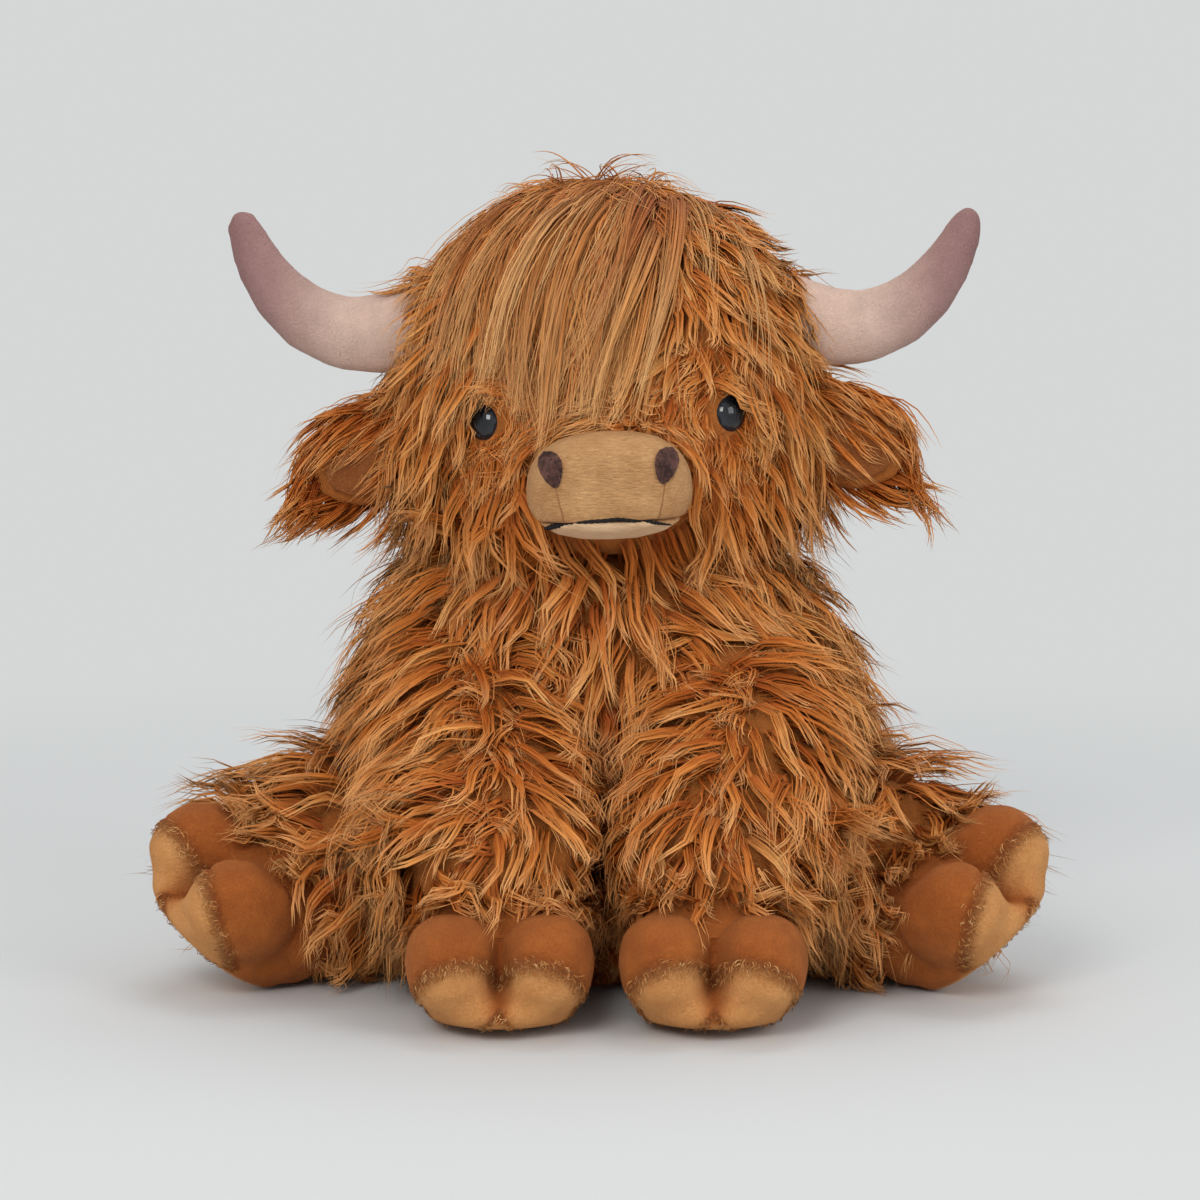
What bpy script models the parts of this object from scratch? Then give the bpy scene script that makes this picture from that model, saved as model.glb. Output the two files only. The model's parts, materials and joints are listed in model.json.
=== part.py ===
"""A seated plush long-haired cow: stuffed skins, fillings, hooves, horns, ears and a jointed head and limbs.

Metres, +Z up. The cow sits on the ground plane and faces -Y, and the origin is the middle of its flat seat.
"""

import math

import bmesh
import bpy
from mathutils import Matrix, Vector
from mathutils.bvhtree import BVHTree

# Seams and cloth
SEAM_GAP = 0.0003
SOCKET_GAP = 0.0008
SWING_GAP = 0.0010
FUR_CLOTH = 0.007
SHORT_PILE_CLOTH = 0.0025
GROUND_CUT = 0.0005
OVERRUN = 0.010

# Torso
TORSO_WIDTH = 0.232
TORSO_DEPTH = 0.196
TORSO_HEIGHT = 0.216
NECK_HEIGHT = 0.190
TORSO_SIDES = 20
TORSO_RINGS = 9
# up, width, depth and forward, as shares of the torso's height, width, depth and depth
TORSO_SHARES = (
    (0.00, 0.74, 0.78, 0.00),
    (0.04, 0.90, 0.93, 0.00),
    (0.12, 0.98, 1.00, 0.00),
    (0.26, 1.00, 1.02, 0.00),
    (0.42, 0.97, 0.97, 0.01),
    (0.58, 0.89, 0.86, 0.03),
    (0.74, 0.76, 0.74, 0.06),
    (0.88, 0.60, 0.58, 0.09),
    (0.96, 0.42, 0.40, 0.10),
    (1.00, 0.22, 0.20, 0.11),
)

# Bag of weighting pellets that lies in the seat
POUCH_WIDTH = 0.130
POUCH_DEPTH = 0.105
POUCH_HEIGHT = 0.044
POUCH_RISE_SHARE = 0.32
POUCH_SIDES = 12

# Head
HEAD_WIDTH = 0.174
HEAD_DEPTH = 0.158
HEAD_HEIGHT = 0.176
HEAD_SINK = 0.018
HEAD_FORWARD = 0.026
HEAD_ROLL = math.radians(2.0)
HEAD_SIDES = 20
HEAD_RINGS = 9
HEAD_SHARES = (
    (0.00, 0.34, 0.34, 0.00),
    (0.06, 0.60, 0.60, 0.00),
    (0.15, 0.83, 0.82, 0.00),
    (0.28, 0.96, 0.95, 0.01),
    (0.45, 1.00, 1.00, 0.01),
    (0.62, 0.96, 0.97, 0.00),
    (0.77, 0.86, 0.88, -0.01),
    (0.89, 0.66, 0.69, -0.02),
    (0.965, 0.40, 0.43, -0.03),
    (1.00, 0.12, 0.13, -0.03),
)

# Long pile that falls over the forehead, outlined as seen from the front
FORELOCK_PILE = 0.010
FORELOCK_WIDTH = 0.118
FORELOCK_TOP = 0.332
FORELOCK_BOTTOM = 0.248
FORELOCK_BACK = 0.012
# along and across, as shares of the forelock's height and half-width
FORELOCK_SHARES = (
    (0.00, 0.20),
    (0.14, 0.56),
    (0.42, 0.80),
    (0.75, 1.00),
    (1.00, 0.82),
)

# Muzzle
MUZZLE_WIDTH = 0.070
MUZZLE_HEIGHT = 0.045
MUZZLE_LENGTH = 0.062
MUZZLE_CENTRE_HEIGHT = 0.225
MUZZLE_REACH = 0.043
MUZZLE_SIDES = 20
MUZZLE_RINGS = 7
MUZZLE_SQUARENESS = 2.6
MUZZLE_TAPER_SHARE = 0.10
# out from the head and girth, as shares of the muzzle's length and of its half-sizes
MUZZLE_SHARES = (
    (0.00, 0.80),
    (0.30, 0.94),
    (0.58, 1.00),
    (0.78, 0.98),
    (0.91, 0.86),
    (0.975, 0.66),
    (1.00, 0.40),
)
MOUTH_HEIGHT = 0.2115
MOUTH_WIDTH = 0.052
MOUTH_THREAD = 0.0013
STITCH_PILE = 0.0010
PATCH_BACK_SHARE = 0.34
NOSTRIL_SPREAD = 0.048
NOSTRIL_HEIGHT = 0.2340
NOSTRIL_WIDTH = 0.0135
NOSTRIL_DROP = 0.0150
NOSTRIL_SIDES = 14
NOSTRIL_TIP_SHARE = 0.45
NOSTRIL_LEAN = math.radians(14.0)

# Eyes: a dome on a shank, held by a washer behind the cloth
EYE_SPREAD = 0.108
EYE_HEIGHT = 0.2510
EYE_RADIUS = 0.0085
EYE_DOME = 0.0065
EYE_STAND = 0.0035
SHANK_RADIUS = 0.0025
SHANK_LENGTH = 0.018
WASHER_RADIUS = 0.0080
WASHER_THICKNESS = 0.0016
WASHER_DEPTH = 0.0130
EYE_SIDES = 14
EYE_RINGS = 4

# Horns, as a path out from the head and up
HORN_SPREAD = 0.064
HORN_HEIGHT = 0.2930
HORN_REACH = 0.098
HORN_RISE = 0.046
HORN_RADIUS = 0.0190
HORN_SIDES = 10
HORN_LIFT = {"left": math.radians(3.0), "right": math.radians(-3.0)}
HORN_BACK_SHARE = 0.03
# out, up and girth, as shares of the horn's reach, rise and radius
HORN_SHARES = (
    (0.00, 0.00, 1.06),
    (0.18, -0.10, 1.00),
    (0.36, -0.19, 0.92),
    (0.53, -0.18, 0.84),
    (0.69, -0.04, 0.76),
    (0.81, 0.18, 0.66),
    (0.90, 0.45, 0.54),
    (0.955, 0.70, 0.44),
    (0.985, 0.88, 0.34),
    (1.00, 0.97, 0.16),
)

# Ears: a round root in the head's side and a flat, drooping blade
EAR_SPREAD = 0.156
EAR_HEIGHT = 0.2500
EAR_ROOT = 0.0125
EAR_LENGTH = 0.060
EAR_WIDTH = 0.046
EAR_THICKNESS = 0.017
EAR_DROOP = math.radians(32.0)
EAR_SIDES = 12
# along, width and thickness, as shares of the ear's length, half-width and half-thickness
EAR_SHARES = (
    (0.18, 0.66, 1.10),
    (0.38, 0.92, 1.00),
    (0.58, 1.00, 0.92),
    (0.76, 0.84, 0.82),
    (0.90, 0.54, 0.64),
    (1.00, 0.20, 0.34),
)
# down and up
EAR_FLOP = (math.radians(-20.0), math.radians(14.0))
# along and across, as shares of the ear's length and half-width
LINING_SHARES = (
    (0.42, 0.56),
    (0.52, 0.70),
    (0.66, 0.68),
    (0.82, 0.42),
    (0.90, 0.14),
)
LINING_PILE = 0.0020

# Legs: a round root and a shaft that swells and tapers
LEG_SIDES = 12
BALL_SIDES = 14
ROOT_RINGS = 3
LEG_MOUTH_SHARE = 0.5
# along and girth, as shares of the leg's length and of its root's radius
LEG_SHARES = (
    (0.22, 1.04),
    (0.46, 1.09),
    (0.70, 1.08),
    (0.90, 0.98),
    (1.03, 0.74),
    (1.09, 0.40),
)
FRONT_ROOT = 0.0395
FRONT_SPREAD = 0.108
FRONT_FORWARD = 0.060
FRONT_HEIGHT = 0.119
FRONT_SWING = (0.0, math.radians(45.0))
HIND_ROOT = 0.0385
HIND_SPREAD = 0.190
HIND_FORWARD = 0.024
HIND_HEIGHT = 0.049
# inwards and outwards
HIND_SPLAY = (math.radians(-2.0), math.radians(20.0))

# Hooves, each in its own frame: toes towards -Y, sole underneath
HOOF_SIDES = 12
TOE_SIDES = 12
UPPER_WIDTH = 0.074
UPPER_LENGTH = 0.070
UPPER_HEIGHT = 0.060
TOE_WIDTH = 0.0415
TOE_LENGTH = 0.058
TOE_HEIGHT = 0.044
TOE_FORWARD = 0.034
TOE_LIFT = 0.0060
TOE_CLOSENESS_SHARE = 0.94
BULB_SQUARENESS = 2.3
SOLE_SQUARENESS = 3.0
SOLE_WIDTH = 0.068
SOLE_LENGTH = 0.082
SOLE_THICKNESS = 0.016
SOLE_FORWARD = 0.016
ANKLE_HEIGHT = 0.046
ANKLE_FORWARD = 0.004
FRONT_HOOF_SPREAD = 0.089
FRONT_HOOF_FORWARD = 0.142
FRONT_HOOF_HEADING = math.radians(0.0)
FRONT_HOOF_PITCH = math.radians(5.0)
HIND_HOOF_REACH = 0.084
HIND_HOOF_PITCH = math.radians(34.0)
HIND_HOOF_ROLL = math.radians(30.0)
HIND_HEADING = {"left": math.radians(58.0), "right": math.radians(52.0)}

# Tail
TAIL_HEIGHT = 0.092
TAIL_ROOT = 0.0090
TAIL_SINK = 0.004
TAIL_LENGTH = 0.044
TAIL_LEAN = math.radians(12.0)
TUFT_RADIUS = 0.0130
TUFT_LENGTH = 0.036
TAIL_SIDES = 10
TAIL_SWING = (math.radians(-20.0), math.radians(20.0))
# along and girth, as shares of the tail's length and root radius
TAIL_SHARES = (
    (0.25, 0.92),
    (0.60, 0.80),
    (1.00, 0.72),
)
# along and girth, as shares of the tuft's length and radius
TUFT_SHARES = (
    (0.00, 0.55),
    (0.20, 0.86),
    (0.45, 1.00),
    (0.72, 0.82),
    (0.92, 0.44),
    (1.00, 0.14),
)

SIGNS = {"left": -1.0, "right": 1.0}
ROOM_SHARES = (0.0, 0.12, 0.24, 0.36, 0.48, 0.60, 0.72)
SWING_STEP = math.radians(7.5)
MERGE_SHARE = 0.1
SMOOTH_ANGLE = math.radians(50.0)

MATERIALS = {
    "long_fur": ((0.48, 0.16, 0.035, 1.0), 0.85),
    "forelock_fur": ((0.60, 0.25, 0.06, 1.0), 0.80),
    "muzzle_velour": ((0.60, 0.33, 0.13, 1.0), 0.90),
    "lip_velour": ((0.62, 0.40, 0.22, 1.0), 0.90),
    "horn_plush": ((0.56, 0.36, 0.28, 1.0), 0.90),
    "hoof_plush": ((0.38, 0.13, 0.025, 1.0), 0.88),
    "toe_plush": ((0.55, 0.28, 0.09, 1.0), 0.88),
    "ear_plush": ((0.34, 0.11, 0.025, 1.0), 0.90),
    "nostril_thread": ((0.13, 0.05, 0.04, 1.0), 0.70),
    "mouth_thread": ((0.01, 0.01, 0.01, 1.0), 0.60),
    "eye_plastic": ((0.01, 0.012, 0.015, 1.0), 0.08),
    "washer_plastic": ((0.80, 0.80, 0.78, 1.0), 0.45),
    "fibre_filling": ((0.85, 0.85, 0.83, 1.0), 0.95),
    "pouch_cloth": ((0.70, 0.66, 0.58, 1.0), 0.90),
}


def clear_scene():
    for obj in list(bpy.data.objects):
        bpy.data.objects.remove(obj, do_unlink=True)


def material(name):
    found = bpy.data.materials.get(name)
    if found:
        return found
    colour, roughness = MATERIALS[name]
    made = bpy.data.materials.new(name)
    made.use_nodes = True
    shader = made.node_tree.nodes["Principled BSDF"]
    shader.inputs["Base Color"].default_value = colour
    shader.inputs["Roughness"].default_value = roughness
    shader.inputs["Metallic"].default_value = 0.0
    made.diffuse_color = colour
    return made


def between(rows, share):
    """The row at a share of the way, read from a smooth curve through the rows, whose first value is that share."""
    last = len(rows) - 1
    index = 0
    while index < last - 1 and share > rows[index + 1][0]:
        index += 1
    before = rows[max(index - 1, 0)]
    start = rows[index]
    end = rows[index + 1]
    after = rows[min(index + 2, last)]
    span = end[0] - start[0]
    turn = (share - start[0]) / span
    values = []
    for column in range(1, len(start)):
        slope_in = (end[column] - before[column]) / (end[0] - before[0]) * span
        slope_out = (after[column] - start[column]) / (after[0] - start[0]) * span
        cube = turn ** 3
        square = turn ** 2
        values.append(
            (2 * cube - 3 * square + 1) * start[column]
            + (cube - 2 * square + turn) * slope_in
            + (3 * square - 2 * cube) * end[column]
            + (cube - square) * slope_out
        )
    return values


def rounded_shares(count):
    """Shares from 0 to 1 that lie closer together near both ends."""
    return [(1 - math.cos(math.pi * step / count)) / 2 for step in range(count + 1)]


def station(centre, turn, half_x, half_y):
    """Where a unit circle goes: moved to the centre, turned, and scaled to its two half-sizes."""
    return Matrix.Translation(centre) @ turn.to_4x4() @ Matrix.Diagonal((half_x, half_y, 1.0, 1.0))


def facing(direction, across):
    """A turn that takes Z along the direction and keeps X as near to across as it can be."""
    along = direction.normalized()
    side = (across - along * across.dot(along)).normalized()
    return Matrix((side, along.cross(side), along)).transposed()


def squared(vector, power):
    """A point of the unit circle pushed out towards a square."""
    reach = (abs(vector.x) ** power + abs(vector.y) ** power) ** (1.0 / power)
    return Vector((vector.x / reach, vector.y / reach, 0.0))


def loft(stations, sides, power=2.0):
    """A closed form through the stations, made by extruding one circle from each station to the next."""
    mesh = bmesh.new()
    bmesh.ops.create_circle(mesh, cap_ends=False, segments=sides, radius=1.0)
    for vert in mesh.verts:
        vert.co = squared(vert.co, power)
    bmesh.ops.transform(mesh, matrix=stations[0], verts=mesh.verts)
    ring = mesh.edges[:]
    for near, far in zip(stations, stations[1:]):
        grown = bmesh.ops.extrude_edge_only(mesh, edges=ring)["geom"]
        verts = [item for item in grown if isinstance(item, bmesh.types.BMVert)]
        chosen = set(verts)
        ring = [
            item
            for item in grown
            if isinstance(item, bmesh.types.BMEdge) and chosen.issuperset(item.verts)
        ]
        bmesh.ops.transform(mesh, matrix=far @ near.inverted(), verts=verts)
    open_edges = [edge for edge in mesh.edges if edge.is_boundary]
    bmesh.ops.holes_fill(mesh, edges=open_edges, sides=0)
    bmesh.ops.recalc_face_normals(mesh, faces=mesh.faces)
    return mesh


def grown(mesh, distance):
    """The same form with each point moved out along its normal, or in where the distance is negative."""
    made = mesh.copy()
    made.normal_update()
    moved = [vert.co + vert.normal * distance for vert in made.verts]
    for vert, place in zip(made.verts, moved):
        vert.co = place
    return made


def cut_flat(mesh, point, normal):
    """The form with all that lies beyond the plane taken off, and the cut closed."""
    made = mesh.copy()
    geometry = made.verts[:] + made.edges[:] + made.faces[:]
    bmesh.ops.bisect_plane(
        made, geom=geometry, plane_co=point, plane_no=normal, clear_outer=True
    )
    bmesh.ops.holes_fill(made, edges=[edge for edge in made.edges if edge.is_boundary], sides=0)
    bmesh.ops.recalc_face_normals(made, faces=made.faces)
    return made


def turned(mesh, matrix):
    made = mesh.copy()
    bmesh.ops.transform(made, matrix=matrix, verts=made.verts)
    return made


def prism(outline, placed, depth):
    """A closed outline of (x, y) points, extruded along Z and placed."""
    mesh = bmesh.new()
    corners = [mesh.verts.new((x, y, 0.0)) for x, y in outline]
    face = mesh.faces.new(corners)
    pulled = bmesh.ops.extrude_face_region(mesh, geom=[face])["geom"]
    verts = [item for item in pulled if isinstance(item, bmesh.types.BMVert)]
    bmesh.ops.translate(mesh, vec=(0.0, 0.0, depth), verts=verts)
    bmesh.ops.transform(mesh, matrix=placed, verts=mesh.verts)
    bmesh.ops.recalc_face_normals(mesh, faces=mesh.faces)
    return mesh


def ball(centre, radius, sides=BALL_SIDES):
    """A sphere whose flat facets all stay outside the radius."""
    mesh = bmesh.new()
    facet_share = math.cos(math.pi / sides) ** 2
    bmesh.ops.create_uvsphere(
        mesh,
        u_segments=sides,
        v_segments=sides // 2,
        radius=radius / facet_share,
        matrix=Matrix.Translation(centre),
    )
    return mesh


def rod(start, end, radius, sides):
    mesh = bmesh.new()
    along = end - start
    placed = Matrix.Translation((start + end) / 2) @ facing(along, along.orthogonal()).to_4x4()
    bmesh.ops.create_cone(
        mesh,
        cap_ends=True,
        segments=sides,
        radius1=radius,
        radius2=radius,
        depth=along.length,
        matrix=placed,
    )
    return mesh


def object_from(name, mesh, origin=Vector((0, 0, 0))):
    data = bpy.data.meshes.new(name)
    bmesh.ops.transform(mesh, matrix=Matrix.Translation(-origin), verts=mesh.verts)
    mesh.to_mesh(data)
    obj = bpy.data.objects.new(name, data)
    bpy.context.scene.collection.objects.link(obj)
    obj.location = origin
    return obj


def piece(name, mesh, finish, origin=Vector((0, 0, 0))):
    """A visible sub-part with its own smooth shading and material, and its origin on its joint."""
    obj = object_from(name, mesh.copy(), origin)
    obj.data.shade_smooth()
    obj.data.set_sharp_from_angle(angle=SMOOTH_ANGLE)
    obj.data.materials.append(material(finish))
    return obj


def cutter(name, mesh):
    obj = object_from(name, mesh.copy())
    obj.hide_render = True
    obj.display_type = "WIRE"
    return obj


def boolean(obj, other, operation="DIFFERENCE", solver="EXACT"):
    step = obj.modifiers.new(f"{operation.lower()}_{other.name}", "BOOLEAN")
    step.operation = operation
    step.solver = solver
    step.object = other


def upright_form(rows, width, depth, height, bottom, forward, sides, rings):
    """A form that stands on Z, with its half-sizes and lean read from a table of shares."""
    stations = []
    for share in rounded_shares(rings):
        across, deep, lean = between(rows, share)
        centre = Vector((0.0, -forward - lean * depth, bottom + share * height))
        stations.append(
            station(centre, Matrix.Identity(3), across * width / 2, deep * depth / 2)
        )
    return loft(stations, sides)


def torso_form():
    return upright_form(
        TORSO_SHARES,
        TORSO_WIDTH,
        TORSO_DEPTH,
        TORSO_HEIGHT + GROUND_CUT,
        -GROUND_CUT,
        0.0,
        TORSO_SIDES,
        TORSO_RINGS,
    )


def roll_matrix():
    """The head's small roll to one side, about its own middle."""
    middle = Vector((0.0, -HEAD_FORWARD, NECK_HEIGHT - HEAD_SINK + HEAD_HEIGHT / 2))
    return (
        Matrix.Translation(middle)
        @ Matrix.Rotation(-HEAD_ROLL, 4, "Y")
        @ Matrix.Translation(-middle)
    )


def head_form():
    made = upright_form(
        HEAD_SHARES,
        HEAD_WIDTH,
        HEAD_DEPTH,
        HEAD_HEIGHT,
        NECK_HEIGHT - HEAD_SINK,
        HEAD_FORWARD,
        HEAD_SIDES,
        HEAD_RINGS,
    )
    return turned(made, roll_matrix())


def limb_form(root, tip, across, radius, rows, sides, flat=None):
    """A round root about its joint, and a shaft whose girth follows a table of shares."""
    along = tip - root
    turn = facing(along, across)
    direction = along.normalized()
    stations = []
    for step in range(1, ROOT_RINGS + 1):
        angle = math.pi / 2 * step / ROOT_RINGS
        girth = radius * math.sin(angle)
        stations.append(station(root - direction * radius * math.cos(angle), turn, girth, girth))
    for row in rows:
        centre = root + along * row[0]
        if flat:
            stations.append(station(centre, turn, row[1] * flat[0] / 2, row[2] * flat[1] / 2))
        else:
            stations.append(station(centre, turn, row[1] * radius, row[1] * radius))
    return loft(stations, sides)


def ellipsoid(centre, width, length, height, sides, placed, power=BULB_SQUARENESS):
    """A stuffed bulb: round from above, and a little square from the side."""
    stations = []
    rings = sides // 2
    for step in range(1, rings):
        angle = math.pi * step / rings
        girth = math.sin(angle) ** (2.0 / power)
        up = -math.copysign(abs(math.cos(angle)) ** (2.0 / power), math.cos(angle))
        place = centre + Vector((0.0, 0.0, up * height / 2))
        stations.append(
            station(place, Matrix.Identity(3), girth * width / 2, girth * length / 2)
        )
    return turned(loft(stations, sides), placed)


def surface_y(form, x, z):
    """The front of a form at a place seen from the front."""
    before = Vector((x, -HEAD_FORWARD - HEAD_DEPTH, z))
    hit = BVHTree.FromBMesh(form).ray_cast(before, Vector((0, 1, 0)))
    return hit[0].y, hit[1]


def laid_on(name, form, outline, finish, pile, origin=Vector((0, 0, 0))):
    """A patch that follows a form's surface: the outline's prism, between two offsets of the form."""
    obj = piece(name, outline, finish, origin)
    boolean(obj, cutter(f"{name}_face", grown(form, SEAM_GAP + pile)), "INTERSECT")
    boolean(obj, cutter(f"{name}_back", grown(form, SEAM_GAP)))
    return obj


def mirrored_outline(rows, length, half_width):
    """Both sides of an outline given by its half-width at shares of its length."""
    right = [(half_width * across, length * along) for along, across in rows]
    left = [(-x, y) for x, y in reversed(right)]
    return right + left


def hoof_pieces(frame):
    """The four panels of a hoof as plain forms, in world places."""
    upper_centre = Vector((0.0, 0.0, UPPER_HEIGHT / 2))
    sole_centre = Vector((0.0, -SOLE_FORWARD, SOLE_THICKNESS / 2))
    forms = {
        "upper": ellipsoid(
            upper_centre, UPPER_WIDTH, UPPER_LENGTH, UPPER_HEIGHT, HOOF_SIDES, frame
        ),
        "sole": ellipsoid(
            sole_centre,
            SOLE_WIDTH,
            SOLE_LENGTH,
            SOLE_THICKNESS,
            HOOF_SIDES,
            frame,
            SOLE_SQUARENESS,
        ),
    }
    for toe, sign in SIGNS.items():
        aside = sign * TOE_WIDTH / 2 * TOE_CLOSENESS_SHARE
        centre = Vector((aside, -TOE_FORWARD, TOE_LIFT + TOE_HEIGHT / 2))
        forms[f"toe_{toe}"] = ellipsoid(
            centre, TOE_WIDTH, TOE_LENGTH, TOE_HEIGHT, TOE_SIDES, frame
        )
    return forms


def lowest(forms):
    return min(vert.co.z for form in forms.values() for vert in form.verts)


def hoof_frame(place, heading, roll, pitch):
    """A hoof's frame: turned to its heading, rolled and pitched, and set down on the ground."""
    turn = (
        Matrix.Rotation(heading, 4, "Z")
        @ Matrix.Rotation(roll, 4, "Y")
        @ Matrix.Rotation(-pitch, 4, "X")
    )
    drop = lowest(hoof_pieces(turn)) + GROUND_CUT
    return Matrix.Translation(Vector((place.x, place.y, -drop))) @ turn


def make_hoof(end, side, frame, origin):
    """The upper, two toes and sole of one hoof. The sole and toes are cut by the upper, the toes by the sole."""
    forms = hoof_pieces(frame)
    name = f"{end}_hoof_{side}"
    ground = Vector((0, 0, 0))
    down = Vector((0, 0, -1))
    across = frame.to_3x3() @ Vector((1, 0, 0))
    middle = frame.translation
    grown_upper = cutter(f"{name}_upper_room", grown(forms["upper"], SEAM_GAP))
    grown_sole = cutter(f"{name}_sole_room", grown(forms["sole"], SEAM_GAP))
    rooms = [grown_upper, grown_sole]
    piece(f"{name}_upper", cut_flat(forms["upper"], ground, down), "hoof_plush", origin)
    sole = piece(f"{name}_sole", cut_flat(forms["sole"], ground, down), "toe_plush", origin)
    boolean(sole, grown_upper)
    for toe, sign in SIGNS.items():
        whole = forms[f"toe_{toe}"]
        rooms.append(cutter(f"{name}_toe_{toe}_room", grown(whole, SEAM_GAP)))
        half = cut_flat(whole, middle + across * sign * SEAM_GAP / 2, -across * sign)
        half = cut_flat(half, ground, down)
        obj = piece(f"{name}_toe_{toe}", half, "toe_plush", origin)
        boolean(obj, grown_upper)
        boolean(obj, grown_sole)
    return rooms


def joint_turn(centre, axis, angle):
    """A turn about a joint's axis."""
    return (
        Matrix.Translation(centre)
        @ Matrix.Rotation(angle, 4, axis)
        @ Matrix.Translation(-centre)
    )


def clear_of(obj, name, rooms, centre, axis, travel):
    """Cuts from a moving piece what the carrying form would meet on the way from one limit to the other."""
    low, high = travel
    steps = min(round((high - low) / SWING_STEP), len(rooms) - 1)
    for count in range(steps + 1):
        angle = low + (high - low) * count / steps
        placed = turned(rooms[count], joint_turn(centre, axis, -angle))
        boolean(obj, cutter(f"{name}_room_{count}", placed))


def carved_rooms(form, joints):
    """Grown copies of a carrying form for clear_of, each with its joints' round sockets taken out.

    Each copy's sockets are a little wider than the last one's, and all are narrower than the real ones,
    so that no two of the cuts share a face.
    """
    return [carved(form, joints, share) for share in ROOM_SHARES]


def carved(form, joints, share):
    base = cutter("room_base", grown(form, SWING_GAP * (1 + share)))
    gap = SEAM_GAP + (SOCKET_GAP - SEAM_GAP) * share
    for count, (centre, radius) in enumerate(joints):
        boolean(base, cutter(f"room_socket_{count}", ball(centre, radius + gap)))
    graph = bpy.context.evaluated_depsgraph_get()
    made = bmesh.new()
    made.from_mesh(base.evaluated_get(graph).to_mesh())
    for obj in [obj for obj in bpy.data.objects if obj.name.startswith("room_")]:
        bpy.data.objects.remove(obj, do_unlink=True)
    return made


def front_root(side):
    return Vector((SIGNS[side] * FRONT_SPREAD / 2, -FRONT_FORWARD, FRONT_HEIGHT))


def hind_root(side):
    return Vector((SIGNS[side] * HIND_SPREAD / 2, -HIND_FORWARD, HIND_HEIGHT))


def tail_root():
    return Vector((0.0, TORSO_DEPTH / 2 - TAIL_SINK, TAIL_HEIGHT))


def ear_root(side):
    spot = Vector((SIGNS[side] * EAR_SPREAD / 2, -HEAD_FORWARD, EAR_HEIGHT))
    return roll_matrix() @ spot


def make_torso(form, joints):
    neck = Vector((0, 0, NECK_HEIGHT))
    ground = Vector((0, 0, 0))
    outside = cut_flat(cut_flat(form, ground, Vector((0, 0, -1))), neck, Vector((0, 0, 1)))
    inside = grown(form, -FUR_CLOTH)
    skin = piece("body_skin", outside, "long_fur")
    boolean(skin, cutter("body_hollow", inside))
    stuffing = cut_flat(grown(form, -FUR_CLOTH - SEAM_GAP), neck, Vector((0, 0, 1)))
    filling = piece("body_filling", stuffing, "fibre_filling")
    pouch_base = FUR_CLOTH + SEAM_GAP
    place = Vector((0.0, 0.0, pouch_base + POUCH_HEIGHT * POUCH_RISE_SHARE))
    pouch_form = ellipsoid(
        place, POUCH_WIDTH, POUCH_DEPTH, POUCH_HEIGHT, POUCH_SIDES, Matrix.Identity(4)
    )
    pouch = piece("pellet_pouch", pouch_form, "pouch_cloth")
    boolean(pouch, cutter("pouch_lining", stuffing), "INTERSECT")
    boolean(filling, cutter("pouch_room", grown(pouch_form, SEAM_GAP)))
    for count, (centre, radius) in enumerate(joints):
        socket = cutter(f"body_socket_{count}", ball(centre, radius + SOCKET_GAP))
        boolean(skin, socket)
        boolean(filling, socket)


def make_leg(end, side, root, radius, rooms, frame, axis, travel):
    """One leg: its skin, its filling and the four panels of its hoof, all on the same joint."""
    ankle = frame @ Vector((0.0, -ANKLE_FORWARD, ANKLE_HEIGHT))
    across = frame.to_3x3() @ Vector((1, 0, 0))
    form = limb_form(root, ankle, across, radius, LEG_SHARES, LEG_SIDES)
    form = cut_flat(form, Vector((0, 0, 0)), Vector((0, 0, -1)))
    name = f"{end}_leg_{side}"
    hoof_rooms = make_hoof(end, side, frame, root)
    skin = piece(f"{name}_skin", form, "long_fur", root)
    filling = piece(
        f"{name}_filling", grown(form, -FUR_CLOTH - SEAM_GAP), "fibre_filling", root
    )
    boolean(skin, cutter(f"{name}_hollow", grown(form, -FUR_CLOTH)))
    direction = (ankle - root).normalized()
    back = root - direction * (radius + OVERRUN)
    mouth = rod(root, back, radius * LEG_MOUTH_SHARE, LEG_SIDES)
    boolean(skin, cutter(f"{name}_mouth", mouth))
    for obj in (skin, filling):
        clear_of(obj, obj.name, rooms, root, axis, travel)
        for hoof_room in hoof_rooms:
            boolean(obj, hoof_room)


def make_tail(rooms):
    root = tail_root()
    lean = Matrix.Rotation(TAIL_LEAN, 3, "X")
    direction = lean @ Vector((0, 0, -1))
    tip = root + direction * TAIL_LENGTH
    across = Vector((1, 0, 0))
    form = limb_form(root, tip, across, TAIL_ROOT, TAIL_SHARES, TAIL_SIDES)
    tail = piece("tail_cord", form, "hoof_plush", root)
    axis = Vector((0, 1, 0))
    clear_of(tail, "tail_cord", rooms, root, axis, TAIL_SWING)
    turn = facing(direction, across)
    start = tip + direction * SEAM_GAP
    stations = []
    for along, girth in TUFT_SHARES:
        size = girth * TUFT_RADIUS
        stations.append(station(start + direction * along * TUFT_LENGTH, turn, size, size))
    tuft = piece("tail_tuft", loft(stations, TAIL_SIDES), "long_fur", root)
    clear_of(tuft, "tail_tuft", rooms, root, axis, TAIL_SWING)


def head_pivot():
    return Vector((0.0, -HEAD_FORWARD, NECK_HEIGHT))


def muzzle_front():
    return surface_y(head_form(), 0.0, MUZZLE_CENTRE_HEIGHT)[0] - MUZZLE_REACH


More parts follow.
